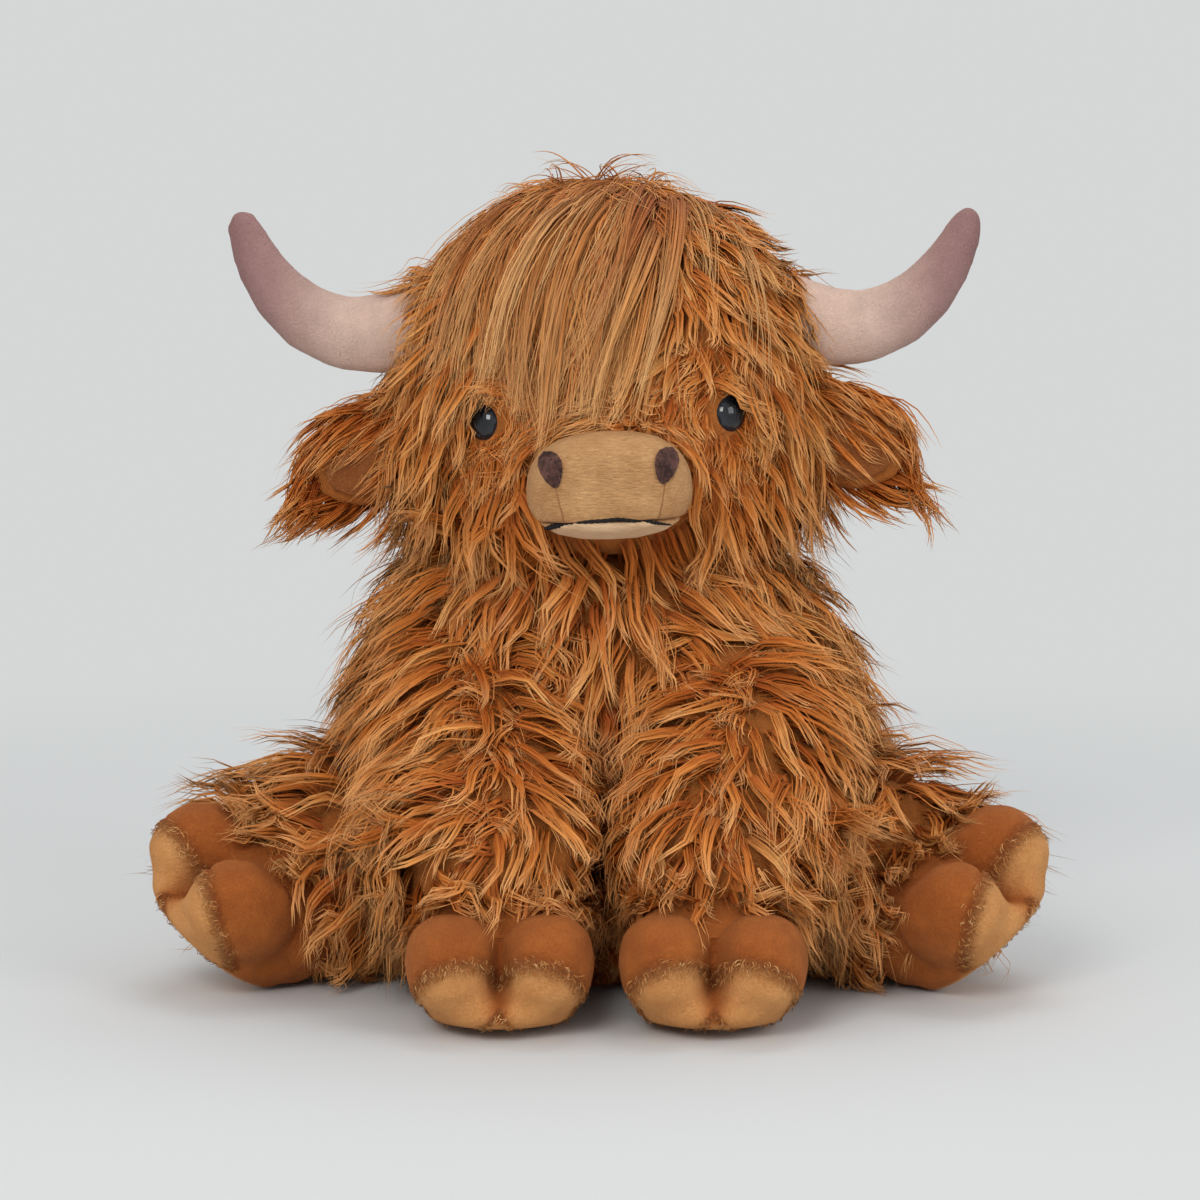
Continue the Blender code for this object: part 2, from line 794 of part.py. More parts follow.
def muzzle_form():
    """The muzzle, out from the head's front: square with round corners, and a little wider below."""
    front = muzzle_front()
    turn = facing(Vector((0, -1, 0)), Vector((1, 0, 0)))
    stations = []
    for share in rounded_shares(MUZZLE_RINGS):
        girth = between(MUZZLE_SHARES, share)[0]
        centre = Vector((0.0, front + MUZZLE_LENGTH * (1 - share), MUZZLE_CENTRE_HEIGHT))
        stations.append(
            station(centre, turn, girth * MUZZLE_WIDTH / 2, girth * MUZZLE_HEIGHT / 2)
        )
    mesh = loft(stations, MUZZLE_SIDES, MUZZLE_SQUARENESS)
    for vert in mesh.verts:
        below = (MUZZLE_CENTRE_HEIGHT - vert.co.z) / (MUZZLE_HEIGHT / 2)
        vert.co.x *= 1 + MUZZLE_TAPER_SHARE * below / 2
    return turned(mesh, roll_matrix())


def front_prism(outline, lift, back):
    """An outline seen from the front, as a prism that runs from well before the face to the back."""
    start = -HEAD_FORWARD - HEAD_DEPTH
    turn = facing(Vector((0, 1, 0)), Vector((1, 0, 0)))
    placed = roll_matrix() @ Matrix.Translation(Vector((0.0, start, lift))) @ turn.to_4x4()
    return prism([(x, -z) for x, z in outline], placed, back - start)


def make_muzzle(head_room):
    form = muzzle_form()
    pivot = head_pivot()
    up = roll_matrix().to_3x3() @ Vector((0, 0, 1))
    mouth = roll_matrix() @ Vector((0.0, 0.0, MOUTH_HEIGHT))
    upper = cut_flat(form, mouth + up * SEAM_GAP / 2, -up)
    lower = cut_flat(form, mouth - up * SEAM_GAP / 2, up)
    boolean(piece("muzzle", upper, "muzzle_velour", pivot), head_room)
    boolean(piece("lower_lip", lower, "lip_velour", pivot), head_room)
    half = MOUTH_WIDTH / 2
    thick = MOUTH_THREAD / 2
    outline = [(half, -thick), (half, thick), (-half, thick), (-half, -thick)]
    back = muzzle_front() + MUZZLE_LENGTH * PATCH_BACK_SHARE
    line = front_prism(outline, MOUTH_HEIGHT, back)
    laid_on("mouth_stitch", form, line, "mouth_thread", STITCH_PILE, pivot)
    for side, sign in SIGNS.items():
        drop = front_prism(teardrop(sign), NOSTRIL_HEIGHT, back)
        laid_on(f"nostril_{side}", form, drop, "nostril_thread", STITCH_PILE, pivot)


def teardrop(sign):
    """A drop that points down and in, as its outline about the nostril's middle."""
    outline = []
    lean = Matrix.Rotation(-sign * NOSTRIL_LEAN, 2)
    for step in range(NOSTRIL_SIDES):
        angle = 2 * math.pi * step / NOSTRIL_SIDES
        narrow = (1 + math.sin(angle)) / 2
        girth = NOSTRIL_TIP_SHARE + (1 - NOSTRIL_TIP_SHARE) * narrow
        x = math.cos(angle) * NOSTRIL_WIDTH / 2 * girth
        z = math.sin(angle) * NOSTRIL_DROP / 2
        spot = lean @ Vector((x, z))
        outline.append((spot.x + sign * NOSTRIL_SPREAD / 2, spot.y))
    return outline


def make_eyes(head, filling, form):
    """Each eye's dome stands on the cloth and its shank goes through it into a washer."""
    pivot = head_pivot()
    for side, sign in SIGNS.items():
        flat = Vector((sign * EYE_SPREAD / 2, 0.0, EYE_HEIGHT))
        spot = roll_matrix() @ flat
        spot.y, normal = surface_y(form, spot.x, spot.z)
        turn = facing(normal, Vector((0, 0, 1)))
        base = spot + normal * (EYE_STAND - EYE_DOME)
        placed = Matrix.Translation(base) @ turn.to_4x4()
        profile = [(SHANK_RADIUS, -SHANK_LENGTH), (SHANK_RADIUS, 0.0), (EYE_RADIUS, 0.0)]
        for step in range(1, EYE_RINGS):
            angle = math.pi / 2 * step / EYE_RINGS
            profile.append((EYE_RADIUS * math.cos(angle), EYE_DOME * math.sin(angle)))
        piece(f"eye_{side}", lathe(profile, EYE_DOME, placed), "eye_plastic", pivot)
        pocket = [
            (SHANK_RADIUS + SEAM_GAP, -SHANK_LENGTH - SEAM_GAP),
            (SHANK_RADIUS + SEAM_GAP, -SEAM_GAP),
            (EYE_RADIUS + SEAM_GAP, -SEAM_GAP),
            (EYE_RADIUS + SEAM_GAP, EYE_DOME + OVERRUN),
        ]
        room = cutter(f"eye_{side}_room", lathe(pocket, EYE_DOME + OVERRUN, placed))
        boolean(head, room)
        boolean(filling, room, solver="MANIFOLD")
        low = -WASHER_DEPTH - WASHER_THICKNESS
        ring = [
            (SHANK_RADIUS + SEAM_GAP, low),
            (WASHER_RADIUS, low),
            (WASHER_RADIUS, -WASHER_DEPTH),
            (SHANK_RADIUS + SEAM_GAP, -WASHER_DEPTH),
        ]
        piece(f"eye_washer_{side}", ring_lathe(ring, placed), "washer_plastic", pivot)
        nest = [
            (WASHER_RADIUS + SEAM_GAP, low - SEAM_GAP),
            (WASHER_RADIUS + SEAM_GAP, SEAM_GAP - WASHER_DEPTH),
        ]
        boolean(filling, cutter(f"washer_{side}_room", lathe(nest, None, placed)), solver="MANIFOLD")


def spun(points, placed, closed):
    mesh = bmesh.new()
    verts = [mesh.verts.new((radius, 0.0, up)) for radius, up in points]
    edges = [mesh.edges.new(pair) for pair in zip(verts, verts[1:])]
    if closed:
        edges.append(mesh.edges.new((verts[-1], verts[0])))
    bmesh.ops.spin(
        mesh,
        geom=verts + edges,
        cent=(0, 0, 0),
        axis=(0, 0, 1),
        dvec=(0, 0, 0),
        angle=2 * math.pi,
        steps=EYE_SIDES,
        use_merge=True,
        use_normal_flip=False,
        use_duplicate=False,
    )
    bmesh.ops.transform(mesh, matrix=placed, verts=mesh.verts)
    bmesh.ops.recalc_face_normals(mesh, faces=mesh.faces)
    return mesh


def lathe(profile, top, placed):
    """A solid of revolution about Z, closed by flat ends or by a point at the top."""
    points = [(0.0, profile[0][1]), *profile]
    points.append((0.0, profile[-1][1] if top is None else top))
    mesh = spun(points, placed, False)
    bmesh.ops.remove_doubles(mesh, verts=mesh.verts, dist=SEAM_GAP * MERGE_SHARE)
    bmesh.ops.recalc_face_normals(mesh, faces=mesh.faces)
    return mesh


def ring_lathe(section, placed):
    return spun(section, placed, True)


def make_head(form, joints):
    neck = Vector((0, 0, NECK_HEIGHT + SEAM_GAP))
    down = Vector((0, 0, -1))
    pivot = head_pivot()
    skin = piece("head_skin", cut_flat(form, neck, down), "long_fur", pivot)
    boolean(skin, cutter("head_hollow", grown(form, -FUR_CLOTH)))
    stuffing = cut_flat(grown(form, -FUR_CLOTH - SEAM_GAP), neck, down)
    filling = piece("head_filling", stuffing, "fibre_filling", pivot)
    for count, (centre, radius) in enumerate(joints):
        socket = cutter(f"head_socket_{count}", ball(centre, radius + SOCKET_GAP))
        boolean(skin, socket)
        boolean(filling, socket)
    make_eyes(skin, filling, form)


def make_forelock(form):
    height = FORELOCK_TOP - FORELOCK_BOTTOM
    outline = mirrored_outline(FORELOCK_SHARES, height, FORELOCK_WIDTH / 2)
    block = front_prism(outline, FORELOCK_BOTTOM, FORELOCK_BACK - HEAD_FORWARD)
    laid_on("forelock", form, block, "forelock_fur", FORELOCK_PILE, head_pivot())


def horn_stations(side, trim):
    """The rings of a horn along its path. The trim makes each ring smaller, for the filling inside."""
    sign = SIGNS[side]
    base = Vector((sign * HORN_SPREAD, -HEAD_FORWARD, HORN_HEIGHT))
    lift = Matrix.Rotation(-sign * HORN_LIFT[side], 3, "Y")
    points = []
    for out, up, girth in HORN_SHARES:
        way = Vector((sign * out * HORN_REACH, out * HORN_BACK_SHARE * HORN_REACH, up * HORN_RISE))
        points.append((roll_matrix() @ (base + lift @ way), girth * HORN_RADIUS - trim))
    stations = []
    for index, (place, girth) in enumerate(points):
        if girth < SHORT_PILE_CLOTH / 2:
            continue
        before = points[max(index - 1, 0)][0]
        after = points[min(index + 1, len(points) - 1)][0]
        turn = facing(after - before, Vector((0, 1, 0)))
        stations.append(station(place, turn, girth, girth))
    return stations


def make_horns(head_room):
    pivot = head_pivot()
    for side in SIGNS:
        skin = piece(
            f"horn_{side}", loft(horn_stations(side, 0.0), HORN_SIDES), "horn_plush", pivot
        )
        hollow = loft(horn_stations(side, SHORT_PILE_CLOTH), HORN_SIDES)
        boolean(skin, head_room)
        boolean(skin, cutter(f"horn_{side}_hollow", hollow))
        inside = loft(horn_stations(side, SHORT_PILE_CLOTH + SEAM_GAP), HORN_SIDES)
        filling = piece(f"horn_filling_{side}", inside, "fibre_filling", pivot)
        boolean(filling, head_room)


def make_ears(rooms):
    for side, sign in SIGNS.items():
        root = ear_root(side)
        axis = Vector((0, -sign, 0))
        droop = Vector((sign * math.cos(EAR_DROOP), 0.0, -math.sin(EAR_DROOP)))
        direction = roll_matrix().to_3x3() @ droop
        tip = root + direction * EAR_LENGTH
        across = Vector((0, 1, 0)).cross(direction) * sign
        form = limb_form(
            root,
            tip,
            across,
            EAR_ROOT,
            EAR_SHARES,
            EAR_SIDES,
            (EAR_WIDTH, EAR_THICKNESS),
        )
        ear = piece(f"ear_{side}", form, "long_fur", root)
        clear_of(ear, f"ear_{side}", rooms, root, axis, EAR_FLOP)
        outline = mirrored_outline(LINING_SHARES, EAR_LENGTH, EAR_WIDTH / 2)
        turn = Matrix((across, direction, across.cross(direction))).transposed()
        depth = EAR_THICKNESS + OVERRUN
        toward = across.cross(direction)
        step = -toward * depth if toward.y > 0 else Vector((0, 0, 0))
        placed = Matrix.Translation(root + step) @ turn.to_4x4()
        laid_on(
            f"ear_lining_{side}",
            form,
            prism(outline, placed, depth),
            "ear_plush",
            LINING_PILE,
            root,
        )


def build():
    clear_scene()
    torso = torso_form()
    head = head_form()
    joints = []
    for side in SIGNS:
        joints.append((front_root(side), FRONT_ROOT))
        joints.append((hind_root(side), HIND_ROOT))
    joints.append((tail_root(), TAIL_ROOT))
    torso_rooms = carved_rooms(torso, joints)
    make_torso(torso, joints)
    for side, sign in SIGNS.items():
        place = Vector((sign * FRONT_HOOF_SPREAD / 2, -FRONT_HOOF_FORWARD, 0.0))
        frame = hoof_frame(place, sign * FRONT_HOOF_HEADING, 0.0, FRONT_HOOF_PITCH)
        make_leg(
            "front",
            side,
            front_root(side),
            FRONT_ROOT,
            torso_rooms,
            frame,
            Vector((-1, 0, 0)),
            FRONT_SWING,
        )
        heading = HIND_HEADING[side]
        way = Vector((sign * math.sin(heading), -math.cos(heading), 0.0))
        place = hind_root(side) + way * HIND_HOOF_REACH
        frame = hoof_frame(place, sign * heading, -sign * HIND_HOOF_ROLL, HIND_HOOF_PITCH)
        make_leg(
            "hind",
            side,
            hind_root(side),
            HIND_ROOT,
            torso_rooms,
            frame,
            Vector((0, 0, sign)),
            HIND_SPLAY,
        )
    make_tail(torso_rooms)
    ear_joints = [(ear_root(side), EAR_ROOT) for side in SIGNS]
    make_head(head, ear_joints)
    head_room = cutter("head_room", grown(head, SEAM_GAP))
    make_muzzle(head_room)
    make_forelock(head)
    make_horns(head_room)
    make_ears(carved_rooms(head, ear_joints))


build()
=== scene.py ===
"""The looks of a seated plush long-haired cow: curly pile, a straight forelock, short-pile hooves, horns and
muzzle, stitched nostrils and mouth, and domed toy eyes."""

import json
import math

import bmesh
import bpy
import numpy as np
from mathutils import Matrix, Vector
from mathutils.bvhtree import BVHTree
from mathutils.kdtree import KDTree


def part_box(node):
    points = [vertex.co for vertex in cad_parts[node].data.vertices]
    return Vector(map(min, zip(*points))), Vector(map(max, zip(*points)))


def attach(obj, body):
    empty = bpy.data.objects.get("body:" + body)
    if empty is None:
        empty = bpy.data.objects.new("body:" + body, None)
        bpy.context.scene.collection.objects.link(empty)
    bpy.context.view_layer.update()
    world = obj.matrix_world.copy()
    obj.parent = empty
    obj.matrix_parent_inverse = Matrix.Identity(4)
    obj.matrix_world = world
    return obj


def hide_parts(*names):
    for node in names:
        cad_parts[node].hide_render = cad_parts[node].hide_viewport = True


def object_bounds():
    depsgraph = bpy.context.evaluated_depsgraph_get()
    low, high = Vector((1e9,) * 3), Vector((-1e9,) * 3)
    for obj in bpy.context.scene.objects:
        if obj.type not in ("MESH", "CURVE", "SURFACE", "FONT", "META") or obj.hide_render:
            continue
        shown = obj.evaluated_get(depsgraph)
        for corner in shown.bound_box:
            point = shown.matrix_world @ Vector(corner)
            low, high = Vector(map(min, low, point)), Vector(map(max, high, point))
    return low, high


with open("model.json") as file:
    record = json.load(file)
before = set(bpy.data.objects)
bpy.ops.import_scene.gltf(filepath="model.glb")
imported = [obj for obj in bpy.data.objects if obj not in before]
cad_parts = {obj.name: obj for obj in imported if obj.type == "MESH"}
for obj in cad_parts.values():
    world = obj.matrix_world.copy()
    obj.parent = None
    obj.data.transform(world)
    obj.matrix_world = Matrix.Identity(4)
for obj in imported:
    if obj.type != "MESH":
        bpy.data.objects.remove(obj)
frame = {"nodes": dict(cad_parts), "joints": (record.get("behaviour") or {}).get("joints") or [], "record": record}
cad_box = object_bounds()

SIDES = ("left", "right")
SIGNS = {"left": -1.0, "right": 1.0}
TOES = ("toe_left", "toe_right")
UP = Vector((0, 0, 1))

# Camera and light, in metres and watts
EYE = Vector((-0.0027, -2.0001, 0.4067))
AIM = Vector((-0.0027, -0.0150, 0.1630))
LENS_MM = 133.9
SENSOR_MM = 36.0
SKY = (0.96, 0.98, 1.0)
SKY_STRENGTH = 0.60
BACKDROP = (0.665, 0.680, 0.678)
PAPER = (0.66, 0.67, 0.67)
FLOOR_RADIUS = 6.0
FADE_START = 0.30
FADE_END = 1.00
# Name, place, size, watts and colour
SOFTBOXES = (
    ("key_softbox", (-0.55, -1.9, 1.25), 0.85, 21.0, (1.0, 0.985, 0.96)),
    ("fill_softbox", (1.4, -1.4, 0.9), 1.0, 8.0, (0.97, 0.985, 1.0)),
    ("top_softbox", (0.2, 0.5, 1.8), 1.0, 8.0, (1.0, 1.0, 1.0)),
)

JOIN_DISTANCE = 1e-6

# Fur
FUR_MAP = "OFBake"
SECTION = ((-1.0, -0.30), (1.0, -0.30), (0.0, 0.55))
SHADE_COLUMNS = 128
FIBRES_ACROSS = 8.0
FIBRE_RUNS = 5.0
TONE_PLACES = (0.0, 0.40, 0.72, 1.0)
TIP_START = 0.45
TIP_STRENGTH = 0.45
FIBRE_STOPS = ((0.32, (0.50, 0.41, 0.35)), (0.50, (0.87, 0.85, 0.83)), (0.62, (1.0, 1.0, 1.0)))
FLOOR_CLEARANCE = 0.0012
DRIFT_LENGTH = 0.034
PARTING = 0.006
LEG_GAP = 0.0085
SEED = 7
FULL_STEPS = 6
ALLOWANCE_SHARE = 0.028
ALLOWANCE = 0.009


def lengths(rows):
    return np.linalg.norm(rows, axis=-1)


def unit(rows):
    return rows / np.maximum(lengths(rows), 1e-9)[..., None]


def flat_to(rows, normals):
    """The rows' directions along the surface whose normals are given."""
    return unit(rows - normals * (rows * normals).sum(1, keepdims=True))


def eased(value, low, high):
    """0 below low, 1 above high and smooth between them."""
    share = np.clip((value - low) / (high - low), 0.0, 1.0)
    return share * share * (3 - 2 * share)


def object_of(name, mesh):
    made = bpy.data.objects.new(name, mesh)
    bpy.context.scene.collection.objects.link(made)
    return made


def mesh_of(name, build):
    data = bpy.data.meshes.new(name)
    build.to_mesh(data)
    build.free()
    return object_of(name, data)


def baked(obj):
    """A mesh of the object's shape with its modifiers applied."""
    graph = bpy.context.evaluated_depsgraph_get()
    return bpy.data.meshes.new_from_object(obj.evaluated_get(graph))


def settled(obj):
    data = baked(obj)
    obj.modifiers.clear()
    obj.data = data
    data.name = obj.name
    data.shade_smooth()
    return obj


def modified(obj, name, kind, **settings):
    made = obj.modifiers.new(name, kind)
    for key, value in settings.items():
        setattr(made, key, value)


def joined(build):
    bmesh.ops.remove_doubles(build, verts=build.verts, dist=JOIN_DISTANCE)


def copy_of(*nodes):
    """A bmesh of some nodes' solids with their corners joined."""
    build = bmesh.new()
    for node in nodes:
        build.from_mesh(frame["nodes"][node].data)
    joined(build)
    return build


def plush_form(name, nodes, voxel, rounds, hull=False, swell=0.0, finer=0, bridge=0.0):
    """A stuffed form on some nodes' solids, or on their outer hull, with its edges rounded off.

    Creases narrower than twice the bridge are filled.
    """
    build = copy_of(*nodes)
    if hull:
        found = bmesh.ops.convex_hull(build, input=build.verts)
        inner = {item for item in found["geom_interior"] if isinstance(item, bmesh.types.BMVert)}
        bmesh.ops.delete(build, geom=list(inner), context="VERTS")
        old = [face for face in build.faces if face not in set(found["geom"])]
        bmesh.ops.delete(build, geom=old, context="FACES")
    obj = mesh_of(name, build)
    for offset in (bridge, -bridge) if bridge else (0.0,):
        modified(obj, "even_cloth", "REMESH", mode="VOXEL", voxel_size=voxel)
        if offset:
            modified(obj, "crease_fill", "DISPLACE", strength=offset, mid_level=0.0)
    modified(obj, "stuffing", "SMOOTH", factor=0.5, iterations=rounds)
    if swell:
        modified(obj, "fullness", "DISPLACE", strength=swell, mid_level=0.0)
    if finer:
        modified(obj, "fine_surface", "SUBSURF", levels=finer, render_levels=finer)
    return settled(obj)


def coordinates(mesh):
    places = np.empty(len(mesh.vertices) * 3, np.float32)
    mesh.vertices.foreach_get("co", places)
    return places.reshape(-1, 3).astype(float)


def slopes_of(mesh):
    slopes = np.empty(len(mesh.vertices) * 3, np.float32)
    mesh.vertex_normals.foreach_get("vector", slopes)
    return slopes.reshape(-1, 3).astype(float)


def placed(mesh, places):
    mesh.vertices.foreach_set("co", places.astype(np.float32).ravel())
    mesh.update()


def masked(mesh, name, values):
    mesh.attributes.new(name, "FLOAT", "POINT").data.foreach_set("value", values.astype(np.float32))


def surface_of(*objects):
    """One search tree over several forms."""
    verts = []
    faces = []
    for obj in objects:
        start = len(verts)
        verts.extend(vert.co.copy() for vert in obj.data.vertices)
        faces.extend([start + v for v in face.vertices] for face in obj.data.polygons)
    return BVHTree.FromPolygons(verts, faces)


def nearest(tree, places):
    spots = np.empty_like(places)
    normals = np.empty_like(places)
    for index, place in enumerate(places):
        spot, normal, _, _ = tree.find_nearest(place)
        spots[index] = spot
        normals[index] = normal
    return spots, normals


def scattered(form, spacing, keep, rng):
    """Evenly spaced places on a form, and the form's normal at each."""
    mesh = form.data
    mesh.calc_loop_triangles()
    corners = np.array([triangle.vertices for triangle in mesh.loop_triangles])
    points = coordinates(mesh)
    slopes = slopes_of(mesh)
    first, second, third = points[corners].transpose(1, 0, 2)
    area = lengths(np.cross(second - first, third - first)) / 2
    count = int(area.sum() / spacing**2 * 5)
    chosen = rng.choice(len(area), count, p=area / area.sum())
    far = np.sqrt(rng.random(count))[:, None]
    across = rng.random(count)[:, None]
    weights = list(enumerate((1 - far, far * (1 - across), far * across)))
    places = sum(w * points[corners[chosen, k]] for k, w in weights)
    normals = unit(sum(w * slopes[corners[chosen, k]] for k, w in weights))
    wanted = keep(places, normals)
    places, normals = places[wanted], normals[wanted]
    tree = KDTree(len(places))
    for index, place in enumerate(places):
        tree.insert(place, index)
    tree.balance()
    crowded = np.zeros(len(places), bool)
    taken = []
    for index, place in enumerate(places):
        if not crowded[index]:
            taken.append(index)
            crowded[[other for _, other, _ in tree.find_range(place, spacing * 0.82)]] = True
    return places[taken], normals[taken]


def cleared(places, clearings):
    """Places moved sideways out of the round clearings that the face keeps free of long pile."""
    for x, z, half_width, half_height in clearings:
        off = (places[:, (0, 2)] - (x, z)) / (half_width, half_height)
        reach = lengths(off)
        inside = (reach < 1) & (places[:, 1] < CLEARING_BACK)
        pushed = off / np.maximum(reach, 1e-6)[:, None] * (half_width, half_height) + (x, z)
        places[:, 0] = np.where(inside, pushed[:, 0], places[:, 0])
        places[:, 2] = np.where(inside, pushed[:, 1], places[:, 2])
    return places


def drifted(places, size):
    """A slow wander in the pile's lie, so that neighbouring locks turn together."""
    x, y, z = (places / DRIFT_LENGTH).T
    ways = [
        np.sin(1.7 * x + 2.3 * z + 0.4) + 0.6 * np.sin(4.1 * z - 2.9 * y),
        np.sin(2.1 * y - 1.3 * x + 1.9) + 0.6 * np.sin(3.7 * x + 3.1 * z),
        np.sin(2.7 * x + 1.9 * y + 3.1) + 0.6 * np.sin(3.3 * y - 4.3 * x),
    ]
    return size * np.stack(ways, 1)


def combed(roots, normals, tree, style, clearings, points, rng):
    """Each lock's middle line: it leaves the cloth at its lift, bends into its lie and stays off forms."""
    look = style(roots, normals)
    count = len(roots)
    length = look["length"] * rng.uniform(1 - look["uneven"], 1.12, count)
    lift = np.radians(look["lift"] + rng.normal(0, 7, count))[:, None]
    stray = rng.normal(0, look["stray"], (count, 3)) + drifted(roots, np.reshape(look["drift"], (-1, 1)))
    way = flat_to(look["way"] + stray, normals)
    heading = unit(way * np.cos(lift) + normals * np.sin(lift))
    places = roots - normals * look["depth"]
    stride = ((length + look["depth"]) / (points - 1))[:, None]
    flick = (look["flick"] * rng.uniform(0.2, 1.4, count))[:, None]
    pace = FULL_STEPS / (points - 1)
    bend = 1 - (1 - look["bend"]) ** pace
    fall = np.array([(0, 0, -look["fall"])]) * FULL_STEPS / (points - 1)
    lines = [places]
    for step in range(1, points):
        share = step / (points - 1)
        places = places + heading * stride
        if clearings:
            places = cleared(places.copy(), clearings)
        if look["wall"]:
            sign, reach = look["wall"]
            places[:, 0] = sign * np.maximum(sign * places[:, 0], reach)
        near, slopes = nearest(tree, places)
        height = ((places - near) * slopes).sum(1)
        least = look["loft"] * math.sin(math.pi * min(share * 1.15, 1.0) * 0.5)
        places = places + slopes * np.clip(least - height, 0, None)[:, None]
        places[:, 2] = np.maximum(places[:, 2], FLOOR_CLEARANCE * (1 + 2 * rng.random(count)))
        lines.append(places)
        lie = flat_to(style(places, slopes)["way"] + stray, slopes)
        heading = unit(heading * (1 - bend) + lie * bend + fall + slopes * flick * share**2)
    return np.stack(lines, 1), look


def waved(lines, normals, look, rng):
    """Locks with their curl: a wave to the side and another off the cloth, both growing towards the tip."""
    count, points = lines.shape[:2]
    share = np.linspace(0, 1, points)[None, :, None]
    along = unit(np.gradient(lines, axis=1))
    side = unit(np.cross(along, normals[:, None, :]))
    out = np.cross(side, along)
    each = (count, 1, 1)
    turns = rng.uniform(0.45, 1.05, each) * look["turns"]
    start = rng.random(each)
    size = np.reshape(look["curl"], (-1, 1, 1)) * rng.uniform(0.4, 1.5, each)
    angle = 2 * math.pi * (turns * share + start)
    swing = np.sin(angle) - np.sin(2 * math.pi * start)
    rise = np.cos(angle) - np.cos(2 * math.pi * start)
    return lines + size * share * (side * swing + 0.5 * out * rise), side, out


def parted(lines, side, out, look, strands, rng):
    """The strands of each lock: broad ones at its core, fine ones round them, drawn together at the tip."""
    count, points = lines.shape[:2]
    share = np.linspace(0, 1, points)[None, None, :, None]
    core = (np.arange(strands) < look["core"])[None, :, None, None]
    each = (count, strands, 1, 1)
    side, out = side[:, None], out[:, None]
    angle = rng.random(each) * 2 * math.pi
    far = np.sqrt(rng.random(each)) * look["spread"] * np.where(core, 0.65, 1.15)
    held = 1 - look["clump"] * share ** rng.uniform(0.5, 1.3, each)
    swell = 1 + 0.35 * np.sin(math.pi * share)
    away = np.cos(angle) * side + np.sin(angle) * out * (0.35 + 0.4 * share)
    full = lines[:, None] + far * held * swell * away
    freedom = look["loose"] * np.where(core, 0.5, 1.25)
    for size, weight in ((1, share**2), (0.8, np.sin(math.pi * share))):
        loose = rng.normal(0, 1, (count, strands, 2, 1)) * freedom * size
        full = full + (loose[:, :, :1] * side + loose[:, :, 1:] * out) * weight
    short = rng.uniform(0.70, 1.0, each) * np.where(core, 0.92, 1.05)
    return full[:, :, :1] + (full - full[:, :, :1]) * (1 - (1 - short) * share)


def strand_template(points):
    """One strand, a unit tall: a three-sided taper with a closed root and a pointed tip, cut into rings."""
    build = bmesh.new()
    bmesh.ops.create_cone(build, cap_ends=True, segments=len(SECTION), radius1=1.0, radius2=0.0, depth=1.0)
    joined(build)
    bmesh.ops.translate(build, verts=build.verts, vec=(0, 0, 0.5))
    for ring in range(1, points - 1):
        whole = build.verts[:] + build.edges[:] + build.faces[:]
        bmesh.ops.bisect_plane(build, geom=whole, plane_co=(0, 0, ring / (points - 1)), plane_no=UP)
    return mesh_of("strand_template", build)


def strand_mesh(name, strands, normals, widths, rolls, shades, softness):
    """One mesh of tapered strands, with a map that runs along each strand and gives its shade across."""
    points = strands.shape[1]
    template = strand_template(points)
    pattern = coordinates(template.data)
    ring = np.rint(pattern[:, 2] * (points - 1)).astype(int)
    base = pattern[ring == 0]
    start = math.atan2(base[0, 1], base[0, 0])
    turn = (np.arctan2(pattern[:, 1], pattern[:, 0]) - start) / (2 * math.pi / len(SECTION))
    side = np.rint(turn).astype(int) % len(SECTION)
    modified(template, "strands", "ARRAY", count=len(strands), use_relative_offset=False)
    settled(template)
    mesh = template.data
    mesh.name = name
    template.name = name

    along = unit(np.gradient(strands, axis=1))
    across = unit(np.cross(normals[:, None, :], along))
    outward = np.cross(along, across)
    turned = np.cos(rolls)[:, None, None] * across + np.sin(rolls)[:, None, None] * outward
    raised = np.cross(along, turned)
    share = np.linspace(0, 1, points)
    size = widths[:, None] * ((0.75 + 0.45 * share) * (1 - share**1.5))
    section = np.array(SECTION)[side]
    section[ring == points - 1] = 0.0
    spread = turned[:, ring] * section[None, :, :1] + raised[:, ring] * section[None, :, 1:]
    places = strands[:, ring] + spread * size[:, ring, None]
    places[:, :, 2] = np.maximum(places[:, :, 2], FLOOR_CLEARANCE / 2)
    placed(mesh, places)

    corner = np.empty(len(mesh.loops), np.int32)
    mesh.loops.foreach_get("vertex_index", corner)
    strand = corner // len(ring)
    own = corner % len(ring)
    u = shades[strand] + (side[own] / (len(SECTION) - 1) - 0.5) / SHADE_COLUMNS
    v = ring[own] / (points - 1)
    layer = mesh.uv_layers.new(name=FUR_MAP)
    layer.uv.foreach_set("vector", np.stack([u, v], 1).astype(np.float32).ravel())
    mesh.update()
    mesh.shade_smooth()
    cloth = np.repeat(normals, len(ring), axis=0)
    soft = unit(slopes_of(mesh) * (1 - softness) + cloth * softness)
    mesh.normals_split_custom_set_from_vertices(soft.astype(np.float32).tolist())
    return template


def within_limits(places):
    """Places kept inside the room that the pile may take outside the solids."""
    low, high = (np.array(corner) for corner in cad_box)
    room = (high - low) * ALLOWANCE_SHARE + ALLOWANCE
    places = np.clip(places, low - room, high + room)
    places[..., 2] = np.maximum(places[..., 2], FLOOR_CLEARANCE)
    return places


def as_one(roots):
    return np.zeros(len(roots), int)


def by_side(roots):
    return (roots[:, 0] > 0).astype(int)


def by_third(roots):
    """Left, right and back."""
    return np.where(roots[:, 1] > 0.0, 2, by_side(roots))


def finished(obj, finish):
    obj.data.materials.clear()
    obj.data.materials.append(finish)


def dressed(piece, body, slot, finish, *nodes):
    finished(piece, finish)
    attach(piece, body)
    if nodes:
        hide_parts(*nodes)
    return piece


